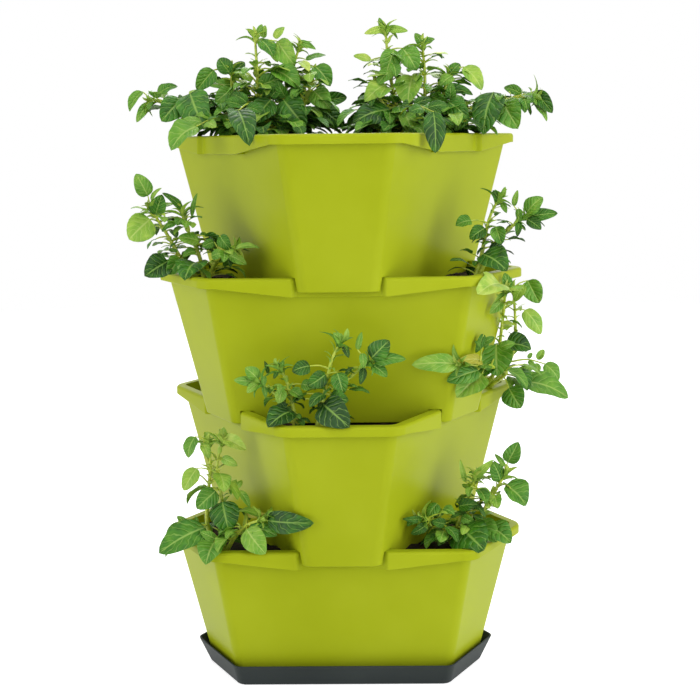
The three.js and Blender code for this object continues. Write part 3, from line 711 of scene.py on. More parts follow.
@dataclass
class Pot:
    """One moulded pot: three-cornered, drafted, with a turned-down rim and corners that hook."""

    rim_long_apothem: float = 168 * MM
    height: float = 187 * MM
    long_draft: float = 38.5 * MM
    facet_draft: float = 40.5 * MM
    wall: float = 3 * MM
    floor: float = 3 * MM
    corner_radius: float = 16 * MM
    bottom_round: float = 1.4 * MM
    flange_reach: float = 9.5 * MM
    rim_thickness: float = 3 * MM
    skirt_thickness: float = 2.6 * MM
    rim_round: float = 4 * MM
    skirt_round: float = 0.8 * MM
    facet_skirt: float = 12 * MM
    recess_skirt: float = 23 * MM
    recess_reach: float = 3 * MM
    recess_side_run: float = 8 * MM
    recess_side_clearance: float = 3.1 * MM
    nest_depth: float = 17 * MM
    seat_gap: float = 0.3 * MM
    lip_gap: float = 7.5 * MM
    slot_clearance: float = 1.5 * MM
    plug_clearance: float = 1 * MM
    drain_radius: float = 4.5 * MM
    drain_ring: float = 70 * MM
    drain_count: int = 6
    overrun: float = 2 * MM
    corner_steps: int = 12
    round_steps: int = 5
    skirt_steps: int = 3
    hole_sides: int = 24

    @property
    def raised_floor(self) -> float:
        """Height of the underside of the floor that a corner stands on."""
        return self.nest_depth + self.seat_gap

    @property
    def plug_reach(self) -> float:
        """Distance from the axis to where the sunken bottom ends."""
        return self.size(self.height - self.nest_depth, -self.wall).long - self.plug_clearance

    @property
    def recess_half_width(self) -> float:
        """Half the length of the drawn-in stretch in the middle of a long side's rim.

        Returns:
            The length from the middle to an end.
        """
        passing = self.size(self.nest_depth, 0).long
        rim_face = self.rim_long_apothem + self.recess_reach
        turn = math.pi / FLATS_IN_HALF_TURN
        half = (passing - rim_face * math.cos(turn)) / math.sin(turn)
        return half + self.recess_side_clearance

    def size(self, height: float, offset: float) -> PlanSize:
        """Plan of the outer face at a height.

        Args:
            height: the height above the bottom edge.
            offset: how far the plan is grown.

        Returns:
            The plan.
        """
        share = height / self.height
        facet = self.rim_long_apothem + self.recess_reach + self.lip_gap + self.wall
        return PlanSize(
            self.rim_long_apothem - self.long_draft * (1 - share) + offset,
            facet + self.facet_draft * share + offset,
            self.corner_radius + offset,
        )

    def ring(self, z: float, offset: float) -> Ring:
        """The outline at a height, grown by an offset."""
        return self.size(z, offset).outline(z, self.corner_steps)

    def body(self, low: float, high: float, offset: float) -> bpy.types.Mesh:
        """A solid of the pot's outline between two heights."""
        return loft_mesh("body", [self.ring(z, offset) for z in (low, high)])

    def shell(self) -> bpy.types.Mesh:
        """The outer form with its bottom edge rounded.

        Returns:
            A solid without the rim.
        """
        edge = quarter_round(self.bottom_round, self.round_steps)
        rings = [self.ring(z, -inset) for z, inset in reversed(edge)]
        return loft_mesh("shell", [*rings, self.ring(self.height, 0)])

    def rim_section(
        self, point: Vector, normal: Vector, reach: float, depth: float, hollow: float
    ) -> Ring:
        """Cross-section of the rim at one place.

        Args:
            point: the place on the wall's outer face.
            normal: the way outward.
            reach: how far the rim stands out from the wall.
            depth: how far its skirt hangs down.
            hollow: 1 where the skirt stands free of the wall, 0 where they are one.

        Returns:
            The section, from the top of the rim outward and round.
        """
        slope = self.long_draft / self.height

        def inside(up: float) -> float:
            """Place of the middle of the wall at a height below the rim."""
            return -self.wall / 2 + slope * up

        top = quarter_round(min(self.rim_round, reach), self.round_steps)
        section = [(reach - inset, -drop) for inset, drop in top]
        edge = quarter_round(self.skirt_round, self.skirt_steps)
        section += [(reach - inset, -depth + rise) for rise, inset in edge]
        skirt = reach - self.skirt_thickness
        free = [(skirt, -depth), (skirt, -self.rim_thickness)]
        solid = [(inside(-depth), -depth), (inside(-depth / 2), -depth / 2)]
        for (x0, z0), (x1, z1) in zip(solid, free):
            section.append((x0 + (x1 - x0) * hollow, z0 + (z1 - z0) * hollow))
        section.append((inside(-self.rim_thickness), -self.rim_thickness))
        section.append((inside(0), 0))
        return [point + normal * out + UP * (self.height + up) for out, up in section]

    def recess_stations(self, flat: int) -> list[tuple[Vector, Vector, float, float, float]]:
        """What rim_section takes, at each place along a long side and its recess.

        Args:
            flat: the long side.

        Returns:
            Point, way outward, reach, depth and hollow for each station of the rim.
        """
        half, run = self.recess_half_width, self.recess_side_run
        normal = level(flat_angle(flat))
        start = normal * self.size(self.height, 0).long
        along = UP.cross(normal)
        eases = [step / self.round_steps for step in range(self.round_steps + 1)]
        places = [run * ease - half for ease in eases]
        stations = []
        for place in places + [-place for place in reversed(places)]:
            drawn_in = smooth_step((half - abs(place)) / run)
            reach = self.flange_reach + (self.recess_reach - self.flange_reach) * drawn_in
            hollow = 1.0 if drawn_in == 0 else 0.0
            stations.append((start + along * place, normal, reach, self.recess_skirt, hollow))
        return stations

    def rim(self) -> bpy.types.Mesh:
        """The rim all round: shallow on the facets, deep on the long sides, with its recesses.

        Returns:
            A closed ring.
        """
        stations = []
        for flat in FLATS:
            if flat not in FACETS:
                stations += self.recess_stations(flat)
            for point, normal in self.size(self.height, 0).corner(flat, self.corner_steps):
                stations.append((point, normal, self.flange_reach, self.facet_skirt, 1.0))
        return loft_mesh("rim", [self.rim_section(*station) for station in stations], closed=True)

    def outward_box(self, flat: int, near: float, low: float, high: float) -> bpy.types.Mesh:
        """A box that reaches outward, past everything.

        Args:
            flat: the flat that it reaches through.
            near: its distance from the axis.
            low: height of its underside.
            high: height of its top.

        Returns:
            The box.
        """
        far = self.rim_long_apothem + self.height
        plan = [(near, -far), (far, -far), (far, far), (near, far)]
        return prism_mesh("outward_box", plan, flat_angle(flat), low, high)

    def rim_slot(self, flat: int) -> bpy.types.Mesh:
        """What the rim below takes out of a corner, with its clearance.

        Args:
            flat: the corner's facet.

        Returns:
            The solid to cut with.
        """
        near, end = self.plug_reach, self.size(0, 0).facet
        band = self.rim_long_apothem + self.recess_reach + self.slot_clearance
        shoulder = self.rim_long_apothem + self.flange_reach + self.slot_clearance
        inner = self.recess_half_width - self.recess_side_run - self.slot_clearance
        outer = self.recess_half_width - self.slot_clearance
        half = [(near, -end), (shoulder, -end), (shoulder, -outer), (band, -inner)]
        plan = half + [(x, -y) for x, y in reversed(half)]
        return prism_mesh("rim_slot", plan, flat_angle(flat), -self.overrun, self.raised_floor)

    def drain_hole(self, hole: int) -> bpy.types.Mesh:
        """The drill for one drain hole.

        Args:
            hole: the hole's number.

        Returns:
            A round bar through the floor.
        """
        angle = (hole + 0.5) / self.drain_count * FULL_TURN
        centre = turned(Vector((self.drain_ring, 0, 0)), angle)
        rings = []
        for z in (-self.overrun, self.floor + self.overrun):
            spoke = Vector((self.drain_radius, 0, z))
            turns = [side / self.hole_sides * FULL_TURN for side in range(self.hole_sides)]
            rings.append([centre + turned(spoke, turn) for turn in turns])
        return loft_mesh("drain_hole", rings)

    def mesh(self) -> bpy.types.Mesh:
        """The finished pot.

        Returns:
            The mesh, its bottom edge at zero.
        """
        hollow = self.body(self.floor, self.height + self.overrun, -self.wall)
        for flat in FACETS:
            near = self.plug_reach - self.wall
            step = self.outward_box(flat, near, -self.overrun, self.raised_floor + self.floor)
            hollow = combine(hollow, step, Join.CUT)
        pot = combine(self.shell(), self.rim(), Join.ADD)
        pot = combine(pot, hollow, Join.CUT)
        for flat in FACETS:
            under = self.outward_box(flat, self.plug_reach, -2 * self.overrun, self.raised_floor)
            inside = self.body(-self.overrun, self.raised_floor, -self.wall)
            pot = combine(pot, combine(inside, under, Join.KEEP_COMMON), Join.CUT)
            pot = combine(pot, self.rim_slot(flat), Join.CUT)
        for hole in range(self.drain_count):
            pot = combine(pot, self.drain_hole(hole), Join.CUT)
        return pot


@dataclass
class Saucer:
    """The drip saucer: a shallow tray that follows the first pot and flares outward."""

    pot: Pot
    first_pot_bottom: float
    floor: float
    rib_height: float
    height: float = 32 * MM
    wall: float = 2.5 * MM
    corner_radius: float = 14 * MM
    long_flare: float = 17 * MM
    facet_flare: float = 12 * MM
    long_clearance: float = 4.2 * MM
    facet_clearance: float = 0.8 * MM
    foot_round: float = 3 * MM
    lip_round: float = 1.1 * MM
    rib_width: float = 5 * MM
    rib_count: int = 6
    rib_start_share: float = 1 / 3
    corner_steps: int = 12
    round_steps: int = 5

    def size(self, height: float, offset: float) -> PlanSize:
        """Plan of the outer face at a height.

        Args:
            height: the height above the underside.
            offset: how far the plan is grown.

        Returns:
            The plan.
        """
        seat = self.pot.size(0, self.wall + offset)
        share = (height - self.first_pot_bottom) / self.height
        return PlanSize(
            seat.long + self.long_clearance + self.long_flare * share,
            seat.facet + self.facet_clearance + self.facet_flare * share,
            self.corner_radius + offset,
        )

    def ring(self, z: float, offset: float) -> Ring:
        """The outline at a height, grown by an offset."""
        return self.size(z, offset).outline(z, self.corner_steps)

    def tray(self) -> bpy.types.Mesh:
        """The tray without its ribs.

        Returns:
            One skin: underside, outer face, rounded lip, inner face and floor.
        """
        foot = quarter_round(self.foot_round, self.round_steps)
        rings = [self.ring(rise, -inset) for inset, rise in foot]
        for step in range(2 * self.round_steps + 1):
            angle = step / (2 * self.round_steps) * math.pi
            z = self.height - self.lip_round * (1 - math.sin(angle))
            across = self.wall / 2 * (1 - math.cos(angle))
            rings.append(self.ring(z, -across))
        rings += [self.ring(self.floor + rise, -self.wall - inset) for rise, inset in foot]
        return loft_mesh("tray", rings)

    def rib(self, number: int) -> bpy.types.Mesh:
        """One rib that holds the pot clear of the water.

        Args:
            number: its place in the round.

        Returns:
            A bar sunk into the floor.
        """
        end = self.pot.size(0, 0).long - self.pot.corner_radius
        start = end * self.rib_start_share
        half = self.rib_width / 2
        plan = [(start, -half), (end, -half), (end, half), (start, half)]
        angle = number / self.rib_count * FULL_TURN
        return prism_mesh("rib", plan, angle, self.floor / 2, self.floor + self.rib_height)

    def mesh(self) -> bpy.types.Mesh:
        """The finished saucer.

        Returns:
            The mesh, turned as the first pot is.
        """
        tray = self.tray()
        for number in range(self.rib_count):
            tray = combine(tray, self.rib(number), Join.ADD)
        tray.transform(Matrix.Rotation(math.pi, 4, "Z"))
        return tray


@dataclass
class Stack:
    """How the four tiers stand on each other: every other pot is turned half round."""

    pot: Pot
    tiers: tuple[str, ...] = ("first", "second", "third", "top")
    saucer_floor: float = 2.5 * MM
    rib_height: float = 1.3 * MM
    soil_below_rim: float = 12 * MM
    settled: tuple[float, ...] = (0, 5 * MM, 0, 0)

    def bottom(self, tier: int) -> float:
        """Height of a tier's bottom edge."""
        pitch = self.pot.height - self.pot.nest_depth
        return self.saucer_floor + self.rib_height + self.pot.seat_gap + tier * pitch

    def angle(self, tier: int) -> float:
        """How far a tier is turned."""
        return math.pi if tier % 2 == 0 else 0.0

    def soil_top(self) -> float:
        """Height of the soil above a pot's bottom edge."""
        return self.pot.height - self.soil_below_rim

    def matrix(self, tier: int) -> Matrix:
        """Takes a pot's own frame to its place in the stack."""
        lift = Matrix.Translation((0, 0, self.bottom(tier)))
        return lift @ Matrix.Rotation(self.angle(tier), 4, "Z")

    def keep_clear(self, point: Vector, own_tier: int, clearance: float) -> Vector:
        """Moves a point of a plant outward until it is clear of every pot.

        Args:
            point: the point.
            own_tier: the plant's tier, inside whose rim the point may be.
            clearance: the least distance to a wall or rim.

        Returns:
            The point, moved where that was needed.
        """
        clear = point.copy()
        for tier in range(len(self.tiers)):
            height = clear.z - self.bottom(tier)
            if not -clearance <= height <= self.pot.height + clearance:
                continue
            if height > self.pot.height - self.pot.recess_skirt - clearance:
                size = self.pot.size(self.pot.height, self.pot.flange_reach + clearance)
            else:
                size = self.pot.size(height, clearance)
            local = turned(Vector((clear.x, clear.y, 0)), -self.angle(tier))
            outside, way = size.depth_outside(local)
            inside, _ = self.pot.size(height, -self.pot.wall - clearance).depth_outside(local)
            if outside >= 0 or (tier == own_tier and inside < 0):
                continue
            moved = turned(local - way * outside, self.angle(tier))
            clear = Vector((moved.x, moved.y, clear.z))
        return clear


@dataclass
class SoilFilling:
    """Potting soil in one tier: a crumbly surface, pressed down where the next pot sinks in.

    Loose crumbs lie on it. Their places are drawn as shares of the soil's area, and the radius of
    each of their points as a share of the crumb's size.
    """

    stack: Stack
    tier: int
    gap: float = 0.3 * MM
    lump: float = 24 * MM
    lump_rise: float = 3.2 * MM
    crumb: float = 5 * MM
    crumb_rise: float = 1.3 * MM
    pattern_step: float = 3.7
    spokes: int = 150
    rings: int = 46
    first_seed: int = 11
    loose_crumbs: int = 170
    loose_area: Span = (0.02, 0.92)
    loose_size: Span = (1.6 * MM, 4.2 * MM)
    loose_wobble: Span = (0.7, 1.15)
    loose_flatness: float = 0.8
    loose_levels: int = 4
    loose_sides: int = 6

    @property
    def covered(self) -> bool:
        """Whether another pot stands on this tier."""
        return self.tier < len(self.stack.tiers) - 1

    def surface(self, point: Vector) -> float:
        """Height of the soil's surface at a place in the pot.

        Args:
            point: the place, in the pot's own frame.

        Returns:
            The height above the pot's bottom edge.
        """
        pot = self.stack.pot
        seed = Vector((0, 0, self.tier * self.pattern_step))
        rise = noise.noise(point / self.lump + seed) * self.lump_rise
        rise += noise.noise(point / self.crumb + seed) * self.crumb_rise
        top = self.stack.soil_top() - self.stack.settled[self.tier] + rise - self.crumb_rise
        if self.covered:
            above = pot.size(0, pot.plug_clearance + self.crumb)
            depth, _ = above.depth_outside(turned(point, math.pi))
            pressed = pot.height - pot.nest_depth - 2 * self.crumb_rise
            share = smooth_step(depth / self.crumb)
            top = min(top, pressed + (top - pressed) * share)
        return top

    def underside(self, point: Vector) -> float:
        """Height of the soil's underside, over the raised floors of the corners.

        Args:
            point: the place, in the pot's own frame.

        Returns:
            The height above the pot's bottom edge.
        """
        pot = self.stack.pot
        size = PlanSize(math.inf, pot.plug_reach - pot.wall - self.crumb, 0)
        depth, _ = size.depth_outside(point)
        raised = pot.raised_floor if depth > 0 else 0.0
        return raised + pot.floor + self.gap

    def part_way(self, spoke: Vector, share: float) -> Vector:
        """A point at a share of the way from the axis to the pot's wall."""
        return Vector((spoke.x * share, spoke.y * share, 0))

    def mesh(self) -> bpy.types.Mesh:
        """The soil as one closed body with loose crumbs on it.

        Returns:
            The mesh, in its place in the stack.
        """
        pot = self.stack.pot
        steps = self.spokes // len(FLATS) - 1
        rim = pot.size(self.stack.soil_top(), -pot.wall - self.gap).outline(0, steps)
        foot = pot.size(pot.floor, -pot.wall - self.gap).outline(0, steps)
        shares = [ring / self.rings for ring in range(1, self.rings + 1)]
        rings = []
        for share in shares:
            under = [self.part_way(spoke, share) for spoke in foot]
            rings.append([Vector((p.x, p.y, self.underside(p))) for p in under])
        for share in reversed(shares):
            over = [self.part_way(spoke, share) for spoke in rim]
            rings.append([Vector((p.x, p.y, self.surface(p))) for p in over])
        draft = MeshDraft()
        draft.add_loft(rings)
        self.add_crumbs(draft, rim)
        mesh = draft.mesh("soil")
        mesh.transform(self.stack.matrix(self.tier))
        return mesh

    def add_crumbs(self, draft: MeshDraft, rim: Ring) -> None:
        """Strews loose crumbs over the part of the surface that shows.

        Args:
            draft: the soil's mesh, to which they are added.
            rim: the outline of the soil's surface.
        """
        pot = self.stack.pot
        chance = random.Random(self.tier + self.first_seed)
        hidden = pot.size(0, pot.wall + self.crumb)
        for _ in range(self.loose_crumbs):
            size = chance.uniform(*self.loose_size)
            spoke, share = chance.choice(rim), math.sqrt(chance.uniform(*self.loose_area))
            place = self.part_way(spoke, share)
            depth, _ = hidden.depth_outside(turned(place, math.pi))
            if depth < 0 and self.covered:
                continue
            place.z = self.surface(place)
            rings = []
            for step in range(1, self.loose_levels):
                polar = step / self.loose_levels * math.pi
                ring = []
                for side in range(self.loose_sides):
                    angle = side / self.loose_sides * FULL_TURN
                    radius = size * chance.uniform(*self.loose_wobble)
                    out = Vector((math.cos(angle), math.sin(angle), 0)) * math.sin(polar)
                    drop = UP * math.cos(polar) * self.loose_flatness
                    ring.append(place + (out - drop) * radius)
                rings.append(ring)
            draft.add_loft(rings)


@dataclass(frozen=True)
class Habit:
    """How one kind of plant has grown, in shares of its height: x right, y away and z up.

    A stem is a row of points. A leaf is where its blade starts, where it ends, and the blade's
    width as a share of its length. One leaf may have faded to straw yellow.
    """

    stems: tuple[tuple[Shares, ...], ...]
    leaves: tuple[Shares, ...]
    faded_leaf: int | None = None


# Each habit follows the plants that stand on the real tower, leaf by leaf, in shares of the
# plant's height.
HABITS: dict[Growth, Habit] = {
    Growth.BUSHY_LEFT: Habit(
        stems=(
            ((0.04, 0, 0), (0.03, -0.05, 0.27), (0.02, -0.05, 0.6), (0.01, -0.05, 0.87)),
            ((-0.01, 0, 0), (-0.2, 0, 0.19), (-0.46, -0.02, 0.3), (-0.86, -0.05, 0.37)),
            ((0.08, 0, 0), (0.19, 0, 0.27), (0.28, 0, 0.54), (0.37, -0.03, 0.79)),
            ((0.11, -0.05, 0), (0.33, -0.1, 0.2), (0.43, -0.1, 0.39), (0.48, -0.1, 0.58)),
            ((-0.03, 0.05, 0), (-0.17, 0.08, 0.27), (-0.2, 0.08, 0.45), (-0.2, 0.05, 0.61)),
            ((0.06, 0.06, 0), (0.11, 0.25, 0.21), (0.26, 0.4, 0.33), (0.34, 0.5, 0.41)),
        ),
        leaves=(
            (-0.92, -0.05, 0.44, -1.03, -0.1, 0.29, 0.5), (-0.8, 0, 0.42, -0.65, 0.05, 0.5, 0.55),
            (-0.87, -0.05, 0.35, -0.97, -0.1, 0.2, 0.4),
            (-0.59, -0.12, 0.37, -0.74, -0.25, 0.2, 0.75),
            (-0.52, -0.12, 0.42, -0.4, -0.3, 0.14, 0.72),
            (-0.43, -0.5, 0.15, -0.63, -0.6, -0.01, 0.8),
            (-0.34, 0.02, 0.61, -0.48, -0.02, 0.45, 0.65),
            (-0.21, 0.02, 0.58, -0.3, 0.05, 0.71, 0.75), (-0.19, 0.05, 0.58, -0.09, 0.1, 0.68, 0.6),
            (-0.16, 0.2, 0.49, -0.42, 0.25, 0.51, 0.35),
            (-0.06, -0.85, 0.26, 0.04, -1.12, 0.02, 0.5),
            (-0.07, -0.15, 0.34, -0.22, -0.25, 0.3, 0.75),
            (0.01, -0.05, 0.87, -0.05, -0.06, 0.93, 0.5),
            (0.03, -0.05, 0.89, 0.07, -0.02, 0.97, 0.45),
            (0.06, -0.05, 0.84, 0.16, -0.12, 0.71, 0.8), (0.19, -0.02, 0.83, 0.33, -0.1, 0.63, 0.65),
            (0.36, -0.03, 0.82, 0.5, -0.05, 0.77, 0.35), (0.42, -0.05, 0.68, 0.58, 0, 0.72, 0.4),
            (0.5, -0.12, 0.62, 0.62, -0.2, 0.46, 0.7), (0.16, -0.1, 0.6, 0.37, -0.2, 0.46, 0.7),
            (0.48, -0.12, 0.43, 0.61, -0.22, 0.29, 0.75),
            (0.04, -0.1, 0.47, 0.23, -0.15, 0.53, 0.65), (0.14, -0.18, 0.36, 0.01, -0.3, 0.19, 0.75),
            (0.24, -0.18, 0.36, 0.42, -0.32, 0.14, 0.72), (0.51, 0.05, 0.28, 0.73, 0.05, 0.15, 0.6),
            (0.54, 0.15, 0.35, 0.75, 0.2, 0.39, 0.5), (-0.32, -0.05, 0.3, -0.38, -0.12, 0.12, 0.65),
            (-0.19, 0, 0.45, -0.32, -0.1, 0.35, 0.65), (0.33, 0.6, 0.4, 0.32, 0.75, 0.23, 0.7),
            (0.08, 0.3, 0.44, -0.08, 0.45, 0.51, 0.6),
        ),
    ),
    Growth.BUSHY_RIGHT: Habit(
        stems=(
            ((-0.12, 0, 0), (-0.2, -0.03, 0.25), (-0.27, -0.03, 0.59), (-0.3, -0.03, 0.91)),
            ((-0.05, 0, 0), (0.01, 0, 0.25), (0.02, 0, 0.54), (0, -0.02, 0.79)),
            ((-0.04, 0, 0), (0.19, 0, 0.17), (0.5, -0.02, 0.31), (0.91, -0.05, 0.37)),
            ((-0.14, -0.05, 0), (-0.25, -0.1, 0.16), (-0.33, -0.1, 0.32), (-0.38, -0.1, 0.48)),
            ((-0.02, 0.05, 0), (0.13, 0.08, 0.25), (0.18, 0.08, 0.41), (0.22, 0.05, 0.57)),
            ((-0.1, 0.06, 0), (-0.14, 0.25, 0.19), (-0.29, 0.4, 0.32), (-0.38, 0.5, 0.4)),
        ),
        leaves=(
            (0.91, -0.05, 0.4, 1.05, -0.1, 0.23, 0.5), (0.81, 0, 0.39, 0.67, 0.05, 0.45, 0.5),
            (0.9, -0.05, 0.32, 1.01, -0.1, 0.17, 0.4), (0.65, -0.12, 0.32, 0.75, -0.25, 0.11, 0.8),
            (0.57, -0.12, 0.4, 0.46, -0.3, 0.09, 0.66), (0.34, 0.02, 0.61, 0.49, -0.02, 0.43, 0.6),
            (0.23, 0.02, 0.56, 0.31, 0.05, 0.64, 0.75), (0.24, -0.02, 0.54, 0.14, -0.08, 0.46, 0.7),
            (0.16, 0.2, 0.42, 0.44, 0.25, 0.41, 0.35), (0.04, -1, 0.23, 0.05, -1.1, -0.07, 0.5),
            (0.2, -0.15, 0.33, 0.35, -0.25, 0.2, 0.65),
            (-0.31, -0.03, 0.92, -0.47, -0.05, 0.88, 0.35),
            (-0.29, -0.03, 0.92, -0.12, -0.05, 0.9, 0.35), (-0.32, -0.03, 0.91, -0.35, 0, 1.01, 0.4),
            (-0.42, -0.05, 0.67, -0.56, 0, 0.71, 0.4),
            (-0.23, -0.05, 0.75, -0.31, -0.14, 0.53, 0.62),
            (-0.16, -0.05, 0.76, -0.05, -0.14, 0.58, 0.75),
            (0, -0.02, 0.79, -0.06, -0.03, 0.88, 0.6), (0.01, -0.02, 0.79, 0.1, 0, 0.84, 0.6),
            (-0.27, -0.18, 0.27, -0.57, -0.32, 0.17, 0.62),
            (-0.17, -0.2, 0.25, -0.1, -0.35, 0.08, 0.7),
            (-0.08, -0.1, 0.54, -0.13, -0.24, 0.31, 0.8),
            (-0.3, -0.12, 0.47, -0.47, -0.22, 0.35, 0.65),
            (-0.25, -0.1, 0.59, -0.37, -0.16, 0.47, 0.6), (0.37, -0.05, 0.28, 0.26, -0.12, 0.1, 0.6),
            (0.06, -0.05, 0.38, 0.18, -0.15, 0.29, 0.65), (-0.4, 0.1, 0.37, -0.55, 0.1, 0.31, 0.6),
            (-0.38, 0.6, 0.39, -0.29, 0.75, 0.2, 0.7), (-0.14, 0.3, 0.43, 0.03, 0.45, 0.5, 0.6),
        ),
    ),
    Growth.SPREADING: Habit(
        stems=(
            ((-0.07, 0, 0), (-0.26, -0.02, 0.26), (-0.37, -0.04, 0.47), (-0.52, -0.05, 0.72)),
            ((-0.03, 0, 0), (-0.07, -0.02, 0.26), (-0.17, -0.04, 0.51), (-0.23, -0.05, 0.7)),
            ((0, 0, 0), (0.1, -0.1, 0.21), (0.23, -0.2, 0.31), (0.31, -0.25, 0.34)),
        ),
        leaves=(
            (-0.54, -0.05, 0.84, -0.64, -0.08, 1.05, 0.66),
            (-0.51, -0.05, 0.8, -0.42, -0.02, 0.92, 0.35),
            (-0.47, -0.06, 0.66, -0.4, -0.08, 0.85, 0.75),
            (-0.21, -0.05, 0.7, -0.39, -0.1, 0.87, 0.32),
            (-0.52, -0.08, 0.62, -0.72, -0.15, 0.44, 0.95),
            (-0.36, -0.12, 0.22, -0.56, -0.25, 0.1, 0.85),
            (-0.25, -0.1, 0.25, -0.35, -0.2, 0.1, 0.75),
            (-0.06, -0.08, 0.41, -0.25, -0.14, 0.45, 0.6),
            (-0.08, -0.12, 0.2, -0.16, -0.44, 0.1, 0.85),
            (-0.09, -0.1, 0.31, -0.21, -0.15, 0.27, 0.7), (0.15, -0.15, 0.46, 0.25, -0.2, 0.33, 0.7),
            (0.09, -0.12, 0.4, -0.02, -0.16, 0.36, 0.75), (0.07, -0.2, 0.27, 0.21, -0.25, 0.31, 0.6),
            (0.31, -0.3, 0.35, 0.53, -0.38, 0.38, 0.3),
            (-0.13, -0.02, 0.64, -0.08, -0.02, 0.86, 0.22),
            (0.25, -0.25, 0.28, 0.41, -0.3, 0.2, 0.5),
        ),
    ),
    Growth.UPRIGHT: Habit(
        stems=(
            (
                (0.01, 0, 0), (0.08, 0, 0.26), (0.14, -0.02, 0.58), (0.2, -0.03, 0.79),
                (0.28, -0.03, 0.93),
            ),
            ((0.04, 0, 0), (0.19, -0.04, 0.35), (0.37, -0.06, 0.57), (0.59, -0.07, 0.73)),
        ),
        leaves=(
            (-0.04, -0.06, 0.69, -0.22, -0.1, 0.65, 0.85),
            (0.12, -0.06, 0.6, -0.06, -0.12, 0.49, 0.75),
            (0.24, -0.08, 0.62, 0.3, -0.14, 0.42, 0.75), (0.16, -0.1, 0.36, 0.35, -0.16, 0.35, 0.8),
            (0.09, -0.14, 0.31, 0.34, -0.4, 0.14, 0.78), (0.59, -0.08, 0.77, 0.77, -0.1, 0.95, 0.78),
            (0.62, -0.08, 0.73, 0.94, -0.12, 0.77, 0.42), (0.6, -0.1, 0.7, 0.75, -0.16, 0.59, 0.65),
            (0.5, -0.08, 0.82, 0.51, -0.12, 0.67, 0.5), (0.51, -0.08, 0.67, 0.48, -0.14, 0.51, 0.45),
            (0.32, -0.03, 0.95, 0.35, -0.03, 1.07, 0.45),
            (0.29, -0.03, 0.91, 0.21, -0.05, 1.03, 0.7), (0.31, -0.05, 0.89, 0.36, -0.1, 0.78, 0.5),
            (0.45, -0.03, 0.85, 0.49, -0.03, 1.03, 0.35),
        ),
    ),
    Growth.TRAILING: Habit(
        stems=(
            (
                (-0.18, 0, 0), (-0.25, -0.03, 0.21), (-0.23, -0.05, 0.49), (-0.21, -0.06, 0.71),
                (-0.22, -0.06, 0.87),
            ),
            (
                (-0.13, 0, 0), (-0.12, -0.04, 0.25), (-0.14, -0.07, 0.5), (-0.16, -0.07, 0.69),
                (-0.11, -0.06, 0.88),
            ),
            ((-0.11, -0.02, 0), (-0.04, -0.1, 0.13), (0.06, -0.18, 0.25), (0.19, -0.25, 0.32)),
        ),
        leaves=(
            (-0.12, -0.12, 0.42, -0.07, -0.2, 0.21, 0.9),
            (-0.17, -0.1, 0.5, -0.31, -0.16, 0.38, 0.75),
            (-0.26, -0.12, 0.22, -0.59, -0.26, 0.07, 0.55),
            (-0.43, -0.05, 0.21, -0.56, -0.08, 0.15, 0.7),
            (-0.18, -0.2, 0.13, -0.23, -0.36, 0.02, 0.9),
            (0.07, -0.24, 0.24, 0.21, -0.36, 0.09, 0.72), (0.09, -0.22, 0.26, 0.3, -0.3, 0.21, 0.48),
            (0.23, -0.28, 0.32, 0.58, -0.46, 0.35, 0.4),
            (0.06, -0.12, 0.32, 0.21, -0.16, 0.33, 0.34), (0.01, -0.1, 0.5, 0.09, -0.14, 0.38, 0.38),
            (-0.31, -0.08, 0.67, -0.41, -0.12, 0.51, 0.6),
            (-0.32, -0.06, 0.91, -0.38, -0.1, 0.76, 0.65),
            (-0.26, -0.08, 0.87, -0.21, -0.12, 0.76, 0.55),
            (-0.1, -0.06, 0.9, 0.07, -0.12, 0.82, 0.5), (-0.12, -0.06, 0.9, -0.1, -0.06, 0.98, 0.75),
            (-0.12, -0.08, 0.75, 0, -0.12, 0.7, 0.5),
        ),
        faded_leaf=8,
    ),
    Growth.REACHING: Habit(
        stems=(
            (
                (0.03, 0, 0), (0.18, -0.15, 0.25), (0.17, -0.38, 0.47), (0.17, -0.6, 0.71),
                (0.16, -0.88, 0.96),
            ),
            (
                (0.04, 0.02, 0), (0.25, 0, 0.2), (0.33, -0.02, 0.41), (0.33, -0.03, 0.64),
                (0.31, -0.04, 0.88),
            ),
            (
                (0.03, -0.01, 0), (0.23, -0.25, 0.21), (0.14, -0.6, 0.32), (-0.04, -0.9, 0.4),
                (-0.19, -1.07, 0.44),
            ),
        ),
        leaves=(
            (0.12, -0.62, 0.51, 0.12, -0.7, 0.28, 1.0), (0.25, -0.1, 0.43, 0.45, -0.14, 0.41, 0.85),
            (0.39, -0.12, 0.13, 0.75, -0.2, 0.02, 0.58), (0.58, 0, 0.25, 0.7, -0.02, 0.12, 0.7),
            (0.26, -0.25, 0.1, 0.34, -0.35, -0.04, 0.95),
            (-0.01, -0.85, 0.32, -0.21, -1.01, 0.18, 0.72),
            (-0.04, -0.9, 0.36, -0.28, -1.04, 0.31, 0.48),
            (-0.21, -1.07, 0.44, -0.54, -1.15, 0.46, 0.4),
            (-0.01, -0.85, 0.42, -0.2, -1.09, 0.47, 0.27),
            (0, -0.86, 0.63, -0.06, -0.88, 0.49, 0.38), (0.41, -0.02, 0.7, 0.55, -0.05, 0.51, 0.6),
            (0.43, -0.02, 0.94, 0.52, -0.06, 0.76, 0.75), (0.39, -0.1, 0.91, 0.31, -0.14, 0.79, 0.6),
            (0.11, -0.97, 1.02, -0.08, -1.26, 0.98, 0.6), (0.18, -0.86, 0.97, 0.15, -0.9, 1.09, 0.6),
            (0.15, -0.75, 0.87, 0.05, -0.82, 0.78, 0.5),
        ),
        faded_leaf=8,
    ),
    Growth.YOUNG: Habit(
        stems=(
            ((0, 0, 0), (0.02, 0, 0.3), (0.06, -0.02, 0.62), (0.1, -0.02, 0.84)),
            ((0.04, -0.03, 0), (0.14, -0.08, 0.2), (0.24, -0.12, 0.38), (0.34, -0.16, 0.48)),
        ),
        leaves=(
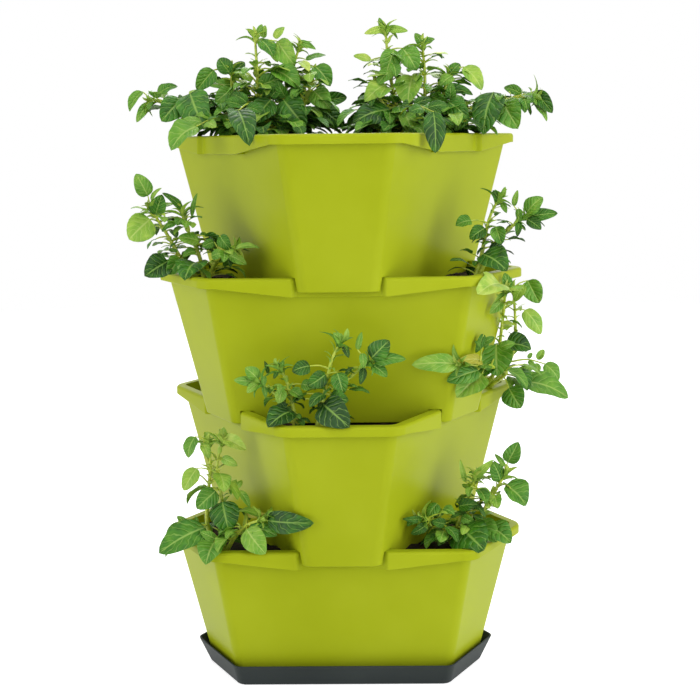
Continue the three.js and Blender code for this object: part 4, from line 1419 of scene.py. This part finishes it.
            (0.08, -0.02, 0.85, 0.02, -0.04, 1, 0.55), (0.12, -0.04, 0.84, 0.3, -0.1, 0.92, 0.6),
            (0.03, -0.05, 0.66, -0.2, -0.12, 0.6, 0.75), (0.1, -0.06, 0.6, 0.3, -0.14, 0.66, 0.7),
            (0, -0.07, 0.4, -0.24, -0.18, 0.28, 0.75), (0.36, -0.18, 0.5, 0.56, -0.26, 0.44, 0.75),
            (0.24, -0.16, 0.34, 0.36, -0.3, 0.18, 0.75), (0.1, -0.12, 0.24, 0.04, -0.3, 0.12, 0.7),
        ),
    ),
}


@dataclass(frozen=True)
class Foliage:
    """How densely a plant's shoots are clothed, beside the large leaves that its habit names.

    Shaded leaves sit low on long stalks. A small leaf in front of a large one is left out where
    it is nearer to that leaf's middle than the light share of half its length.
    """

    small_leaves: int = 34
    shaded_leaves: int = 0
    light_share: float = 0.9


@dataclass(frozen=True)
class PlantPlace:
    """Where a plant stands, which way it leans and how it is clothed.

    In a corner pocket, out runs from the wall of the pot above to the facet, and across is a
    share of the facet's half width. In the top pot, out runs to the front and across to the
    right, as shares of the rim. A turned plant looks to the back. Freshness makes all its
    leaves younger, or older where it is below 0.
    """

    name: str
    growth: Growth
    height: float
    tier: int
    out_share: float
    across_share: float
    flat: int | None = None
    turned: bool = False
    mirrored: bool = False
    freshness: float = 0.0
    foliage: Foliage = Foliage()


@dataclass(frozen=True)
class BladeForm:
    """The form of one leaf blade, in shares of its length and of its half width."""

    youth: float
    fold: float
    roll: float
    arch: float
    droop: float
    ripple: float
    phase: float
    ripple_waves: float = 1.7
    ripple_lag: float = 1.4

    def rise(self, along: float) -> float:
        """How far the midrib rises at a share of the way along the blade."""
        return self.arch * math.sin(math.pi * along) - self.droop * along**3

    def lift(self, along: float, across: float) -> float:
        """How far the blade stands above its midrib.

        Args:
            along: the share of the way along the blade.
            across: the place across it, -1 to 1.

        Returns:
            The height, as a share of the half width.
        """
        edge = abs(across)
        turn = FULL_TURN * self.ripple_waves * along + self.phase + self.ripple_lag * across
        return self.fold * edge**1.3 - self.roll * edge**4 + self.ripple * edge**2 * math.sin(turn)


# How unlike each other the blades of one plant are.
FORM_RANGES: dict[str, Span] = {
    "fold": (0.1, 0.6),
    "roll": (0.05, 0.32),
    "arch": (0.07, 0.13),
    "droop": (0.0, 0.14),
    "ripple": (0.05, 0.14),
    "phase": (0, FULL_TURN),
}


@dataclass(frozen=True)
class LargeLeaf:
    """Sizes of the leaves that a habit names. Youth grows with the height on the plant."""

    fullness: float = 1.1
    roll: float = 0.45
    stalk_sag: float = 0.1
    youth: float = 0.2
    youth_gain: float = 0.36
    youth_scatter: Span = (-0.2, 0.28)


@dataclass(frozen=True)
class SideLeaflet:
    """Sizes of the leaflets that stand in pairs along a large leaf's stalk.

    Each place is a share of the stalk, with the leaflet's length as a share of the leaf's.
    """

    least_stalk: float = 24 * MM
    places: tuple[Span, ...] = ((0.5, 0.42), (0.78, 0.58))
    scatter: Span = (0.8, 1.15)
    length: Span = (8 * MM, 24 * MM)
    forward: Span = (0.3, 0.9)
    upward: float = 0.15
    stalk: float = 0.18
    width: float = 0.62
    youth_gain: float = 0.08


@dataclass(frozen=True)
class TipLeaf:
    """Sizes of the young leaves curled round the tip of a shoot, from the outermost inward.

    A loss or gain is what changes from the outermost leaf to the innermost.
    """

    count: tuple[int, int] = (9, 13)
    turn_scatter: Span = (-0.3, 0.3)
    length: Span = (11 * MM, 25 * MM)
    length_share: float = 1.15
    length_loss: float = 0.5
    spread: float = 1.1
    spread_loss: float = 0.9
    forward: float = 0.5
    depth: float = 9 * MM
    stem_share: float = 0.5
    width: float = 0.34
    lean: float = 0.3
    youth: float = 0.6
    youth_gain: float = 0.3
    fold: float = 0.6
    arch: float = 0.1
    curl: Span = (-0.1, 0.6)
    ripple: float = 0.05


@dataclass(frozen=True)
class NodeLeaf:
    """Sizes of the tiny leaflets that stand in pairs close along the upper part of a shoot."""

    spacing: float = 10 * MM
    clothed_share: float = 0.6
    first_share: float = 0.42
    run_share: float = 0.56
    turn_scatter: Span = (-0.4, 0.4)
    length: Span = (8 * MM, 19 * MM)
    forward: Span = (0.2, 1.4)
    stem_share: float = 0.6
    width: float = 0.36
    youth: float = 0.55
    youth_gain: float = 0.38


@dataclass(frozen=True)
class SmallLeaf:
    """Sizes of the small leaves on stalks of their own all round the shoots.

    The rise is the share of the shoot at which a leaf starts, and the top is the share of the
    plant's height above which there is none. The level is how far its stalk points upward.
    Stalks and lengths are shares of the plant's height, less a part of it near the tips.
    """

    rise: Span = (0.05, 0.95)
    rise_power: float = 1.3
    level: Span = (-0.1, 0.7)
    stalk: Span = (0.06, 0.24)
    stalk_sag: float = 0.08
    length: Span = (0.12, 0.25)
    width: Span = (0.55, 0.78)
    droop: Span = (0.2, 0.9)
    roll: float = 0.3
    thinning: float = 0.5
    top: float = 0.74
    youth: Span = (0.05, 0.55)
    youth_gain: float = 0.4


SUNLIT = SmallLeaf()
SHADED = SmallLeaf(rise=(0.03, 0.28), rise_power=1.0, level=(0.05, 0.4), stalk=(0.15, 0.55))


def even_points(path: list[Vector], steps: int) -> list[Vector]:
    """Points at even distances along a path of straight runs.

    Args:
        path: the path's own points.
        steps: the number of steps along it.

    Returns:
        One point more than there are steps.
    """
    lengths = [0.0]
    for start, end in zip(path, path[1:]):
        lengths.append(lengths[-1] + (end - start).length)
    points, run = [], 0
    for step in range(steps + 1):
        wanted = lengths[-1] * step / steps
        while run < len(path) - 2 and lengths[run + 1] < wanted:
            run += 1
        span = lengths[run + 1] - lengths[run]
        points.append(path[run].lerp(path[run + 1], (wanted - lengths[run]) / span))
    return points


def smooth_path(points: list[Vector], steps: int, resolution: int = 12) -> list[Vector]:
    """Evenly spaced points on a smooth curve through a row of points.

    Args:
        points: the points that the curve goes through.
        steps: the number of steps along it.
        resolution: how finely each stretch is worked out before it is divided.

    Returns:
        One point more than there are steps.
    """
    ends = [2 * points[0] - points[1], *points, 2 * points[-1] - points[-2]]
    fine = [points[0]]
    for before, start, end, after in zip(ends, ends[1:], ends[2:], ends[3:]):
        pairs = ((before, start), (start, end), (end, after))
        g0, g1, g2 = (math.sqrt((second - first).length) for first, second in pairs)
        leaving = (start - before) / g0 - (end - before) / (g0 + g1) + (end - start) / g1
        arriving = (end - start) / g1 - (after - start) / (g1 + g2) + (after - end) / g2
        handles = start + leaving * g1 / 3, end - arriving * g1 / 3
        fine.extend(interpolate_bezier(start, *handles, end, resolution)[1:])
    return even_points(fine, steps)


def tube_rings(path: list[Vector], foot: float, tip: float, sides: int) -> list[Ring]:
    """Rings of a tapering tube, square to its path and without twist.

    Args:
        path: the points along its middle.
        foot: radius at the first point.
        tip: radius at the last point.
        sides: points in each ring.

    Returns:
        One ring for each point of the path.
    """
    last = len(path) - 1
    heading, spin = UP, Quaternion()
    rings = []
    for index, point in enumerate(path):
        onward = (path[min(index + 1, last)] - path[max(index - 1, 0)]).normalized()
        spin = heading.rotation_difference(onward) @ spin
        heading = onward
        radius = foot + (tip - foot) * index / last
        ring = []
        for side in range(sides):
            angle = side / sides * FULL_TURN
            ring.append(point + spin @ Vector((math.cos(angle), math.sin(angle), 0)) * radius)
        rings.append(ring)
    return rings


@dataclass
class Plant:
    """A potato plant: juicy shoots, leaves on arching stalks and young leaves at every tip."""

    stack: Stack
    place: PlantPlace
    large: LargeLeaf = LargeLeaf()
    leaflet: SideLeaflet = SideLeaflet()
    tip: TipLeaf = TipLeaf()
    node: NodeLeaf = NodeLeaf()
    buried: float = 12 * MM
    stem_foot: float = 3.2 * MM
    stem_tip: float = 1.5 * MM
    stem_sides: int = 8
    stem_steps: int = 16
    bare_steps: int = 4
    stalk_foot: float = 1.35 * MM
    stalk_tip: float = 0.8 * MM
    stalk_sides: int = 6
    stalk_step: float = 6 * MM
    least_stalk_steps: int = 3
    thinnest_stalk: float = 0.55
    full_stalk: float = 60 * MM
    leaf_clearance: float = 7 * MM
    blade_clearance: float = 1.2 * MM
    lift_share: float = 1.01
    blade_thickness: float = 0.5 * MM
    blade_least: float = 0.25 * MM
    blade_stations: Shares = (0, 0.035, 0.11, 0.23, 0.38, 0.54, 0.7, 0.84, 0.94, 1)
    blade_sides: Shares = (1, 0.72, 0.36, 0, -0.36, -0.72, -1)
    widest_power: float = 0.7
    blunt_power: float = 0.58
    facing_up: float = 0.5

    def __post_init__(self) -> None:
        """Settles what follows from the plant's place."""
        self.chance = random.Random(self.place.name)
        self.turn = -1 if self.place.turned else 1
        self.lean = -self.turn if self.place.mirrored else self.turn
        self.outlook = Vector((0, -self.turn, 0))
        self.root = self.find_root()
        self.stems = MeshDraft()
        self.leaves = MeshDraft()
        self.large_leaves: list[tuple[Vector, float]] = []

    def find_root(self) -> Vector:
        """Works out where the plant stands.

        Returns:
            The place on the soil.
        """
        pot, place, stack = self.stack.pot, self.place, self.stack
        soil = stack.soil_top()
        rim = pot.size(soil, -pot.wall)
        if place.flat is None:
            angle, low, high, across = -math.pi / 2, 0.0, rim.long, rim.long
        else:
            angle = flat_angle(place.flat) + stack.angle(place.tier)
            low = pot.size(soil - (pot.height - pot.nest_depth), 0).long
            high, across = rim.facet, (2 * rim.long - rim.facet) / math.sqrt(3)
        out = low + (high - low) * place.out_share
        root = turned(Vector((out, across * place.across_share, 0)), angle)
        root.z = stack.bottom(place.tier) + soil
        return root

    def at(self, shares: Shares) -> Vector:
        """A place given in shares of the plant's height."""
        x, y, z = shares
        return self.root + Vector((self.lean * x, self.turn * y, z)) * self.place.height

    def height_share(self, point: Vector) -> float:
        """How high a point is, as a share of the plant's height."""
        return (point.z - self.root.z) / self.place.height

    def keep_clear(self, point: Vector, clearance: float) -> Vector:
        """The point, moved outward where it is nearer to a pot than the clearance."""
        return self.stack.keep_clear(point, self.place.tier, clearance)

    def locate(self, shares: Shares) -> Vector:
        """A place given in shares of the plant's height, clear of the pots."""
        return self.keep_clear(self.at(shares), self.leaf_clearance)

    def clear(self, point: Vector) -> Vector:
        """Moves a point of a blade or stalk off the plastic, over the plant's own rim or out.

        Args:
            point: the point.

        Returns:
            The nearer of the two places that are clear, or the point.
        """
        out = self.keep_clear(point, self.blade_clearance)
        if out == point:
            return out
        rim = self.stack.bottom(self.place.tier) + self.stack.pot.height
        over = Vector((point.x, point.y, rim + self.blade_clearance * self.lift_share))
        lifted = self.keep_clear(over, self.blade_clearance)
        return min((out, lifted), key=lambda moved: (moved - point).length)

    def stalk_start(self, paths: list[list[Vector]], base: Vector) -> Vector:
        """The point on the stems that a stalk leaves: near the blade and rather below it.

        Args:
            paths: the plant's stems.
            base: where the blade begins.

        Returns:
            One of the points of the stems.
        """

        def cost(node: Vector) -> float:
            """Weighs a place for the stalk to start at.

            Args:
                node: the place, on a stem.

            Returns:
                The stalk's length, and more for starting high or crossing a pot.
            """
            middle = node.lerp(base, 0.5)
            clear = self.keep_clear(middle, self.stalk_foot)
            blocked = self.stack.pot.height if clear != middle else 0.0
            return (node - base).length + max(0.0, node.z - base.z) + blocked

        shoots = [node for path in paths for node in path[self.bare_steps :]]
        return min(shoots, key=cost)

    def add_stalk(self, start: Vector, base: Vector, sag: float) -> list[Vector]:
        """Adds an arching stalk, unless the blade sits on the stem, and returns its path.

        Args:
            start: the point on the stem.
            base: where the blade begins.
            sag: how far it arches, as a share of its length.

        Returns:
            The stalk's points.
        """
        reach = (base - start).length
        if reach < self.stem_foot:
            return [start, base]
        middle = start.lerp(base, 0.5) + UP * reach * sag
        steps = max(self.least_stalk_steps, round(reach / self.stalk_step))
        path = [self.clear(point) for point in smooth_path([start, middle, base], steps)]
        size = min(1.0, self.thinnest_stalk + reach / self.full_stalk)
        foot, tip = self.stalk_foot * size, self.stalk_tip * size
        self.stems.add_loft(tube_rings(path, foot, tip, self.stalk_sides))
        return path

    def add_blade(
        self, base: Vector, tip: Vector, width: float, facing: Vector, form: BladeForm
    ) -> None:
        """Adds one blade as a thin closed sheet.

        Args:
            base: where the blade joins its stalk.
            tip: its pointed end.
            width: its greatest width.
            facing: the way its upper side looks.
            form: its folds and its age.
        """
        length = (tip - base).length
        along = (tip - base).normalized()
        up = (facing - along * facing.dot(along)).normalized()
        side = up.cross(along)
        fresh = min(form.youth + self.place.freshness, YOUNGEST)
        youth = FADED if form.youth == FADED else fresh
        rings = []
        for share in self.blade_stations:
            swell = max(0.0, math.sin(math.pi * share**self.widest_power)) ** self.blunt_power
            half = max(self.blade_least, width / 2 * swell)
            middle = base + along * share * length + up * form.rise(share) * length
            upper, lower = [], []
            for across in self.blade_sides:
                lift = form.lift(share, across)
                place = self.clear(middle + side * across * half + up * lift * half)
                upper.append(place)
                row = Vector((share, across, youth))
                self.leaves.blade.append(row)
                if abs(across) < 1:
                    lower.insert(0, (place - up * self.blade_thickness, row))
            self.leaves.blade.extend(row for _, row in lower)
            rings.append(upper + [place for place, _ in lower])
        self.leaves.add_loft(rings)

    def form(self, youth: float) -> BladeForm:
        """A form for a blade of some age, a little unlike every other."""
        drawn = {name: self.chance.uniform(*span) for name, span in FORM_RANGES.items()}
        return BladeForm(youth=youth, **drawn)

    def facing(self, along: Vector, outward: Vector, roll: float) -> Vector:
        """The way a blade looks: outward and up, rolled a little about its length."""
        turn = Quaternion(along, self.chance.uniform(-roll, roll))
        return turn @ (outward + UP * self.facing_up).normalized()

    def add_pairs(self, path: list[Vector], length: float, facing: Vector, youth: float) -> None:
        """Adds the small side leaflets in pairs along a stalk.

        Args:
            path: the stalk's points.
            length: the length of the leaf at its end.
            facing: the way that leaf looks.
            youth: the leaflets' age.
        """
        sizes, chance = self.leaflet, self.chance
        shortest, longest = sizes.length
        for share, size in sizes.places:
            index = round(share * (len(path) - 1))
            point = path[index]
            onward = (path[min(index + 1, len(path) - 1)] - path[index - 1]).normalized()
            across = facing.cross(onward).normalized()
            for hand in (-1, 1):
                reach = length * size * chance.uniform(*sizes.scatter)
                reach = min(max(reach, shortest), longest)
                forward = chance.uniform(*sizes.forward)
                way = (across * hand + onward * forward + facing * sizes.upward).normalized()
                base = point + way * reach * sizes.stalk
                tip = base + way * reach
                if (self.clear(tip) - tip).length > self.blade_clearance:
                    continue
                self.add_blade(base, tip, reach * sizes.width, facing, self.form(youth))

    def add_leaf(self, paths: list[list[Vector]], leaf: Shares, faded: bool) -> None:
        """Adds one of the leaves that the habit names, with its stalk and leaflets.

        Args:
            paths: the plant's stems.
            leaf: the leaf's row in the habit.
            faded: whether it has turned straw yellow.
        """
        sizes = self.large
        base, tip = self.locate(leaf[0:3]), self.locate(leaf[3:6])
        start = self.stalk_start(paths, base)
        length = (tip - base).length
        along = (tip - base).normalized()
        youth = sizes.youth + sizes.youth_gain * self.height_share(base)
        youth += self.chance.uniform(*sizes.youth_scatter)
        facing = self.facing(along, self.outlook, sizes.roll)
        path = self.add_stalk(start, base, sizes.stalk_sag)
        form = self.form(FADED if faded else youth)
        self.add_blade(base, tip, leaf[6] * length * sizes.fullness, facing, form)
        self.large_leaves.append((base.lerp(tip, 0.5), length / 2))
        if (base - start).length > self.leaflet.least_stalk:
            self.add_pairs(path, length, facing, youth + self.leaflet.youth_gain)

    def add_tip_leaves(self, path: list[Vector]) -> None:
        """Adds the curled young leaves round the tip of a shoot.

        Args:
            path: the shoot's points.
        """
        sizes, chance = self.tip, self.chance
        heading = (path[-1] - path[-2]).normalized()
        across = heading.orthogonal().normalized()
        count = chance.randint(*sizes.count)
        for leaf in range(count):
            inner = leaf / count
            angle = leaf * SPIRAL_TURN + chance.uniform(*sizes.turn_scatter)
            out = Quaternion(heading, angle) @ across
            length = chance.uniform(*sizes.length)
            length *= sizes.length_share - sizes.length_loss * inner
            spread = out * (sizes.spread - sizes.spread_loss * inner)
            way = (spread + heading * (sizes.forward + inner)).normalized()
            base = path[-1] - heading * (1 - inner) * sizes.depth
            base += out * self.stem_tip * sizes.stem_share
            form = BladeForm(
                youth=sizes.youth + sizes.youth_gain * inner,
                fold=sizes.fold,
                roll=0.0,
                arch=sizes.arch,
                droop=chance.uniform(*sizes.curl),
                ripple=sizes.ripple,
                phase=angle,
            )
            facing = heading - out * sizes.lean
            self.add_blade(base, base + way * length, length * sizes.width, facing, form)

    def shades_large_leaf(self, place: Vector) -> bool:
        """Whether a small leaf at a place would take the light from one of the large leaves.

        Args:
            place: the middle of the small leaf.

        Returns:
            True where a large leaf stands behind it, seen from the plant's own front.
        """
        for centre, reach in self.large_leaves:
            gap = place - centre
            depth = gap.dot(self.outlook)
            aside = (gap - self.outlook * depth).length
            if depth > 0 and aside < reach * self.place.foliage.light_share:
                return True
        return False

    def add_node_leaves(self, path: list[Vector]) -> None:
        """Adds the tiny leaflets that stand close along the upper part of a shoot.

        Args:
            path: the shoot's points.
        """
        sizes, chance = self.node, self.chance
        length = (path[-1] - path[0]).length
        count = round(length * sizes.clothed_share / sizes.spacing)
        across = (path[-1] - path[0]).orthogonal().normalized()
        for node in range(count):
            share = sizes.first_share + sizes.run_share * node / count
            index = round(share * (len(path) - 1))
            onward = (path[index] - path[index - 1]).normalized()
            for hand in range(2):
                angle = node * SPIRAL_TURN + hand * math.pi + chance.uniform(*sizes.turn_scatter)
                out = Quaternion(onward, angle) @ across
                reach = chance.uniform(*sizes.length)
                way = (out + onward * chance.uniform(*sizes.forward)).normalized()
                base = path[index] + out * self.stem_tip * sizes.stem_share
                if self.shades_large_leaf(base + way * reach / 2):
                    continue
                form = self.form(sizes.youth + sizes.youth_gain * share)
                self.add_blade(base, base + way * reach, reach * sizes.width, onward, form)

    def add_small_leaf(self, paths: list[list[Vector]], sizes: SmallLeaf) -> None:
        """Adds a leaf on a short stalk, unless it would stand in the way of something.

        Args:
            paths: the plant's stems, of which it takes one.
            sizes: the kind of leaf.
        """
        chance, height = self.chance, self.place.height
        path = chance.choice(paths)
        rise = chance.uniform(*sizes.rise) ** sizes.rise_power
        start = path[round(rise * self.stem_steps)]
        angle = chance.uniform(0, FULL_TURN)
        lift = chance.uniform(*sizes.level)
        size = height * (1 - sizes.thinning * rise)
        out = Vector((math.cos(angle), math.sin(angle), 0))
        way = (out + UP * lift).normalized()
        base = start + way * chance.uniform(*sizes.stalk) * size
        length = chance.uniform(*sizes.length) * (size + height) / 2
        hang = (out + UP * (lift - chance.uniform(*sizes.droop))).normalized()
        tip = base + hang * length
        share = self.height_share(base)
        youth = chance.uniform(*sizes.youth) + sizes.youth_gain * share
        width = chance.uniform(*sizes.width) * length
        facing = self.facing((tip - base).normalized(), out, sizes.roll)
        form = self.form(youth)
        blocked = any(self.keep_clear(end, self.leaf_clearance) != end for end in (base, tip))
        if blocked or tip.z < self.root.z or share > sizes.top:
            return
        if not self.shades_large_leaf(base.lerp(tip, 0.5)):
            self.add_stalk(start, base, sizes.stalk_sag)
            self.add_blade(base, tip, width, facing, form)

    def build(
        self, leaf_finish: bpy.types.Material, stem_finish: bpy.types.Material
    ) -> list[bpy.types.Object]:
        """Builds the plant and returns its stems and its leaves.

        Args:
            leaf_finish: the blades' material.
            stem_finish: the material of stems and stalks.

        Returns:
            The stems and the leaves, each one object.
        """
        habit, foliage, name = HABITS[self.place.growth], self.place.foliage, self.place.name
        paths = []
        for foot, *shoot in habit.stems:
            points = [self.at(foot), *(self.locate(shares) for shares in shoot)]
            path = smooth_path(points, self.stem_steps)
            paths.append(path)
            rooted = [path[0] - UP * self.buried, *path]
            self.stems.add_loft(tube_rings(rooted, self.stem_foot, self.stem_tip, self.stem_sides))
        for number, leaf in enumerate(habit.leaves):
            self.add_leaf(paths, leaf, number == habit.faded_leaf)
        for path in paths:
            self.add_tip_leaves(path)
            self.add_node_leaves(path)
        for sizes in [SHADED] * foliage.shaded_leaves + [SUNLIT] * foliage.small_leaves:
            self.add_small_leaf(paths, sizes)
        stems = add_object(f"{name}_stems", self.stems.mesh("stems"), stem_finish)
        leaves = add_object(f"{name}_leaves", self.leaves.mesh("leaves"), leaf_finish)
        return [stems, leaves]


BUSHY_HEIGHT = 157 * MM
SPREADING_HEIGHT = 130 * MM
UPRIGHT_HEIGHT = 116 * MM
LOW_UPRIGHT_HEIGHT = 108 * MM
TALL_HEIGHT = 166 * MM
YOUNG_HEIGHT = 82 * MM

CROWDED = Foliage(small_leaves=320, shaded_leaves=150, light_share=0.45)
LEAFY = Foliage(small_leaves=100)

PLANTS = (
    PlantPlace(
        "plant_top_left", Growth.BUSHY_LEFT, BUSHY_HEIGHT, 3, 0.12, -0.66, foliage=CROWDED
    ),
    PlantPlace(
        "plant_top_right", Growth.BUSHY_RIGHT, BUSHY_HEIGHT, 3, 0.12, 0.66, foliage=CROWDED
    ),
    PlantPlace(
        "plant_third_left", Growth.SPREADING, SPREADING_HEIGHT, 2, 0.72, 0, flat=2, foliage=LEAFY
    ),
    PlantPlace(
        "plant_third_right", Growth.UPRIGHT, LOW_UPRIGHT_HEIGHT, 2, 0.74, 0, flat=4, freshness=-0.16
    ),
    PlantPlace("plant_third_back", Growth.YOUNG, YOUNG_HEIGHT, 2, 0.6, 0.3, flat=0, turned=True),
    PlantPlace(
        "plant_second_front", Growth.UPRIGHT, UPRIGHT_HEIGHT, 1, 0.72, -0.48, flat=0, freshness=-0.2
    ),
    PlantPlace(
        "plant_second_young",
        Growth.UPRIGHT,
        YOUNG_HEIGHT,
        1,
        0.64,
        -0.78,
        flat=0,
        mirrored=True,
        freshness=-0.14,
    ),
    PlantPlace("plant_second_right", Growth.REACHING, TALL_HEIGHT, 1, 0.42, -1.09, flat=2),
    PlantPlace("plant_first_left", Growth.TRAILING, TALL_HEIGHT, 0, 0.53, 0.73, flat=2),
    PlantPlace(
        "plant_first_right",
        Growth.SPREADING,
        SPREADING_HEIGHT,
        0,
        0.52,
        -0.38,
        flat=4,
        mirrored=True,
        foliage=LEAFY,
    ),
    PlantPlace("plant_first_back", Growth.YOUNG, YOUNG_HEIGHT, 0, 0.6, -0.4, flat=0, turned=True),
)


def backdrop_rays(tree: bpy.types.NodeTree) -> bpy.types.Node:
    """Tells the rays that see the backdrop: from the camera, in a gloss or through a glass.

    Args:
        tree: the node tree of a material or of the world.

    Returns:
        A node that is 1 for such a ray.
    """
    light_path = add_node(tree, "ShaderNodeLightPath").outputs
    highest = {"operation": "MAXIMUM"}
    either = {0: light_path["Is Camera Ray"], 1: light_path["Is Glossy Ray"]}
    any_ray = {0: add_node(tree, "ShaderNodeMath", highest, either)}
    any_ray[1] = light_path["Is Transmission Ray"]
    return add_node(tree, "ShaderNodeMath", highest, any_ray)


@dataclass(frozen=True)
class PaperFloor:
    """A sweep of matt white studio paper, which looks white and keeps the tower's soft shadow."""

    name: str = "matt_white_floor"
    colour: str = "f2f2f2"
    roughness: float = 0.9
    gloss: float = 0.1
    glow: float = 0.72

    def material(self) -> bpy.types.Material:
        """Builds the finish.

        Returns:
            The material.
        """
        material, shader = start_material(self.name)
        tree = material.node_tree
        seen = {0: backdrop_rays(tree), 1: self.glow}
        inputs = {
            "Base Color": linear_colour(self.colour),
            "Roughness": self.roughness,
            "Specular IOR Level": self.gloss,
            "Emission Color": WHITE,
            "Emission Strength": add_node(tree, "ShaderNodeMath", {"operation": "MULTIPLY"}, seen),
        }
        feed(shader, inputs)
        return material


@dataclass(frozen=True)
class Lamp:
    """A soft square lamp: its place, the length of its side and its power in watts."""

    name: str
    place: Place
    side: float
    power: float


LAMPS = (
    Lamp("key_lamp", (2.2, -1.2, 1.0), 2.0, 38),
    Lamp("fill_lamp", (-2.2, -1.2, 0.9), 2.0, 28),
    Lamp("front_lamp", (0.2, -2.5, 1.2), 1.4, 8),
    Lamp("top_lamp", (0.1, -0.8, 2.7), 1.5, 19),
    Lamp("back_lamp", (0.0, 2.2, 2.3), 1.8, 34),
)


def aim_at(piece: bpy.types.Object, place: Place, aim: Place, roll: float = 0.0) -> None:
    """Puts a lamp or camera into the scene, looking at a point.

    Args:
        piece: the lamp or camera.
        place: where it stands.
        aim: the point in the middle of its view.
        roll: how far it is turned about its line of sight.
    """
    heading = (Vector(aim) - Vector(place)).to_track_quat("-Z", "Y")
    piece.location = place
    piece.rotation_mode = "QUATERNION"
    piece.rotation_quaternion = heading @ Quaternion((0, 0, 1), roll)
    bpy.context.scene.collection.objects.link(piece)


@dataclass
class Studio:
    """A plain pale floor under soft light, and the camera at the photograph's viewpoint."""

    eye: Place = (0.03556, -1.70933, 0.6894)
    aim: Place = (0.01066, -0.03083, 0.42095)
    roll: float = -0.01144
    lens: float = 66.355
    sensor: float = 36
    sight: float = 50
    world_level: float = 0.29
    floor_radius: float = 4.0
    floor_sides: int = 96
    lamp_aim: Place = (0, 0, 0.4)

    def build_camera(self) -> None:
        """Sets up the camera."""
        data = bpy.data.cameras.new("camera")
        data.lens = self.lens
        data.sensor_width = self.sensor
        data.clip_end = self.sight
        camera = bpy.data.objects.new("camera", data)
        aim_at(camera, self.eye, self.aim, self.roll)
        bpy.context.scene.camera = camera

    def add_lamp(self, lamp: Lamp) -> None:
        """Adds one lamp that looks at the middle of the tower.

        Args:
            lamp: its place, size and power.
        """
        data = bpy.data.lights.new(lamp.name, "AREA")
        data.size = lamp.side
        data.energy = lamp.power
        aim_at(bpy.data.objects.new(lamp.name, data), lamp.place, self.lamp_aim)

    def build_world(self) -> None:
        """Surrounds the scene with a soft light that looks white itself."""
        world = bpy.data.worlds.new("studio")
        world.use_nodes = True
        tree = world.node_tree
        tree.nodes.clear()
        white = {"Color": WHITE}
        mixed = {
            0: backdrop_rays(tree),
            1: add_node(tree, "ShaderNodeBackground", None, white | {"Strength": self.world_level}),
            2: add_node(tree, "ShaderNodeBackground", None, white | {"Strength": 1.0}),
        }
        surface = {"Surface": add_node(tree, "ShaderNodeMixShader", None, mixed)}
        add_node(tree, "ShaderNodeOutputWorld", None, surface)
        bpy.context.scene.world = world

    def build_floor(self) -> None:
        """Lays the floor."""
        turns = [side / self.floor_sides * FULL_TURN for side in range(self.floor_sides)]
        ring = [turned(Vector((self.floor_radius, 0, 0)), turn) for turn in turns]
        draft = MeshDraft(points=ring, faces=[tuple(range(self.floor_sides))])
        add_object("floor", draft.mesh("floor"), PaperFloor().material())

    def build(self) -> None:
        """Builds the studio."""
        bpy.context.scene.view_settings.view_transform = "Standard"
        self.build_camera()
        self.build_world()
        self.build_floor()
        for lamp in LAMPS:
            self.add_lamp(lamp)


def place_piece(piece: bpy.types.Object, body: str, node: str) -> None:
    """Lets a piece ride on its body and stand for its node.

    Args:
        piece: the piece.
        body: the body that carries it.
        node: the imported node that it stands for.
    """
    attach(piece, body)
    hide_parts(node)
    LOG.info("%s rides on %s", piece.name, body)


def build_plastic(stack: Stack) -> None:
    """Builds the four pots and the saucer.

    Args:
        stack: how the pots stand.
    """
    lime = LIME_POLYPROPYLENE.material()
    moulded = stack.pot.mesh()
    for tier, body in enumerate(stack.tiers):
        mesh = moulded.copy()
        mesh.transform(stack.matrix(tier))
        pot = add_object(f"moulded_pot_{body}", mesh, lime)
        pot.modifiers.new("even_normals", "WEIGHTED_NORMAL").keep_sharp = True
        place_piece(pot, body, f"pot_{body}")
    bpy.data.meshes.remove(moulded)
    tray = Saucer(stack.pot, stack.bottom(0), stack.saucer_floor, stack.rib_height)
    saucer = add_object("drip_saucer", tray.mesh(), GREY_POLYPROPYLENE.material())
    saucer.modifiers.new("even_normals", "WEIGHTED_NORMAL").keep_sharp = True
    place_piece(saucer, "saucer", "saucer")


def main() -> None:
    """Builds the dressed tower."""
    logging.basicConfig(level=logging.INFO, format="%(name)s: %(message)s")
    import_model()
    Studio().build()
    stack = Stack(Pot())
    build_plastic(stack)
    compost = PottingSoil().material()
    for tier, body in enumerate(stack.tiers):
        soil = add_object(f"potting_soil_{body}", SoilFilling(stack, tier).mesh(), compost)
        place_piece(soil, body, f"soil_{body}")
    leaf, stem = PotatoLeaf().material(), PotatoStem().material()
    for place in PLANTS:
        for piece in Plant(stack, place).build(leaf, stem):
            place_piece(piece, stack.tiers[place.tier], place.name)


if __name__ == "__main__":
    main()
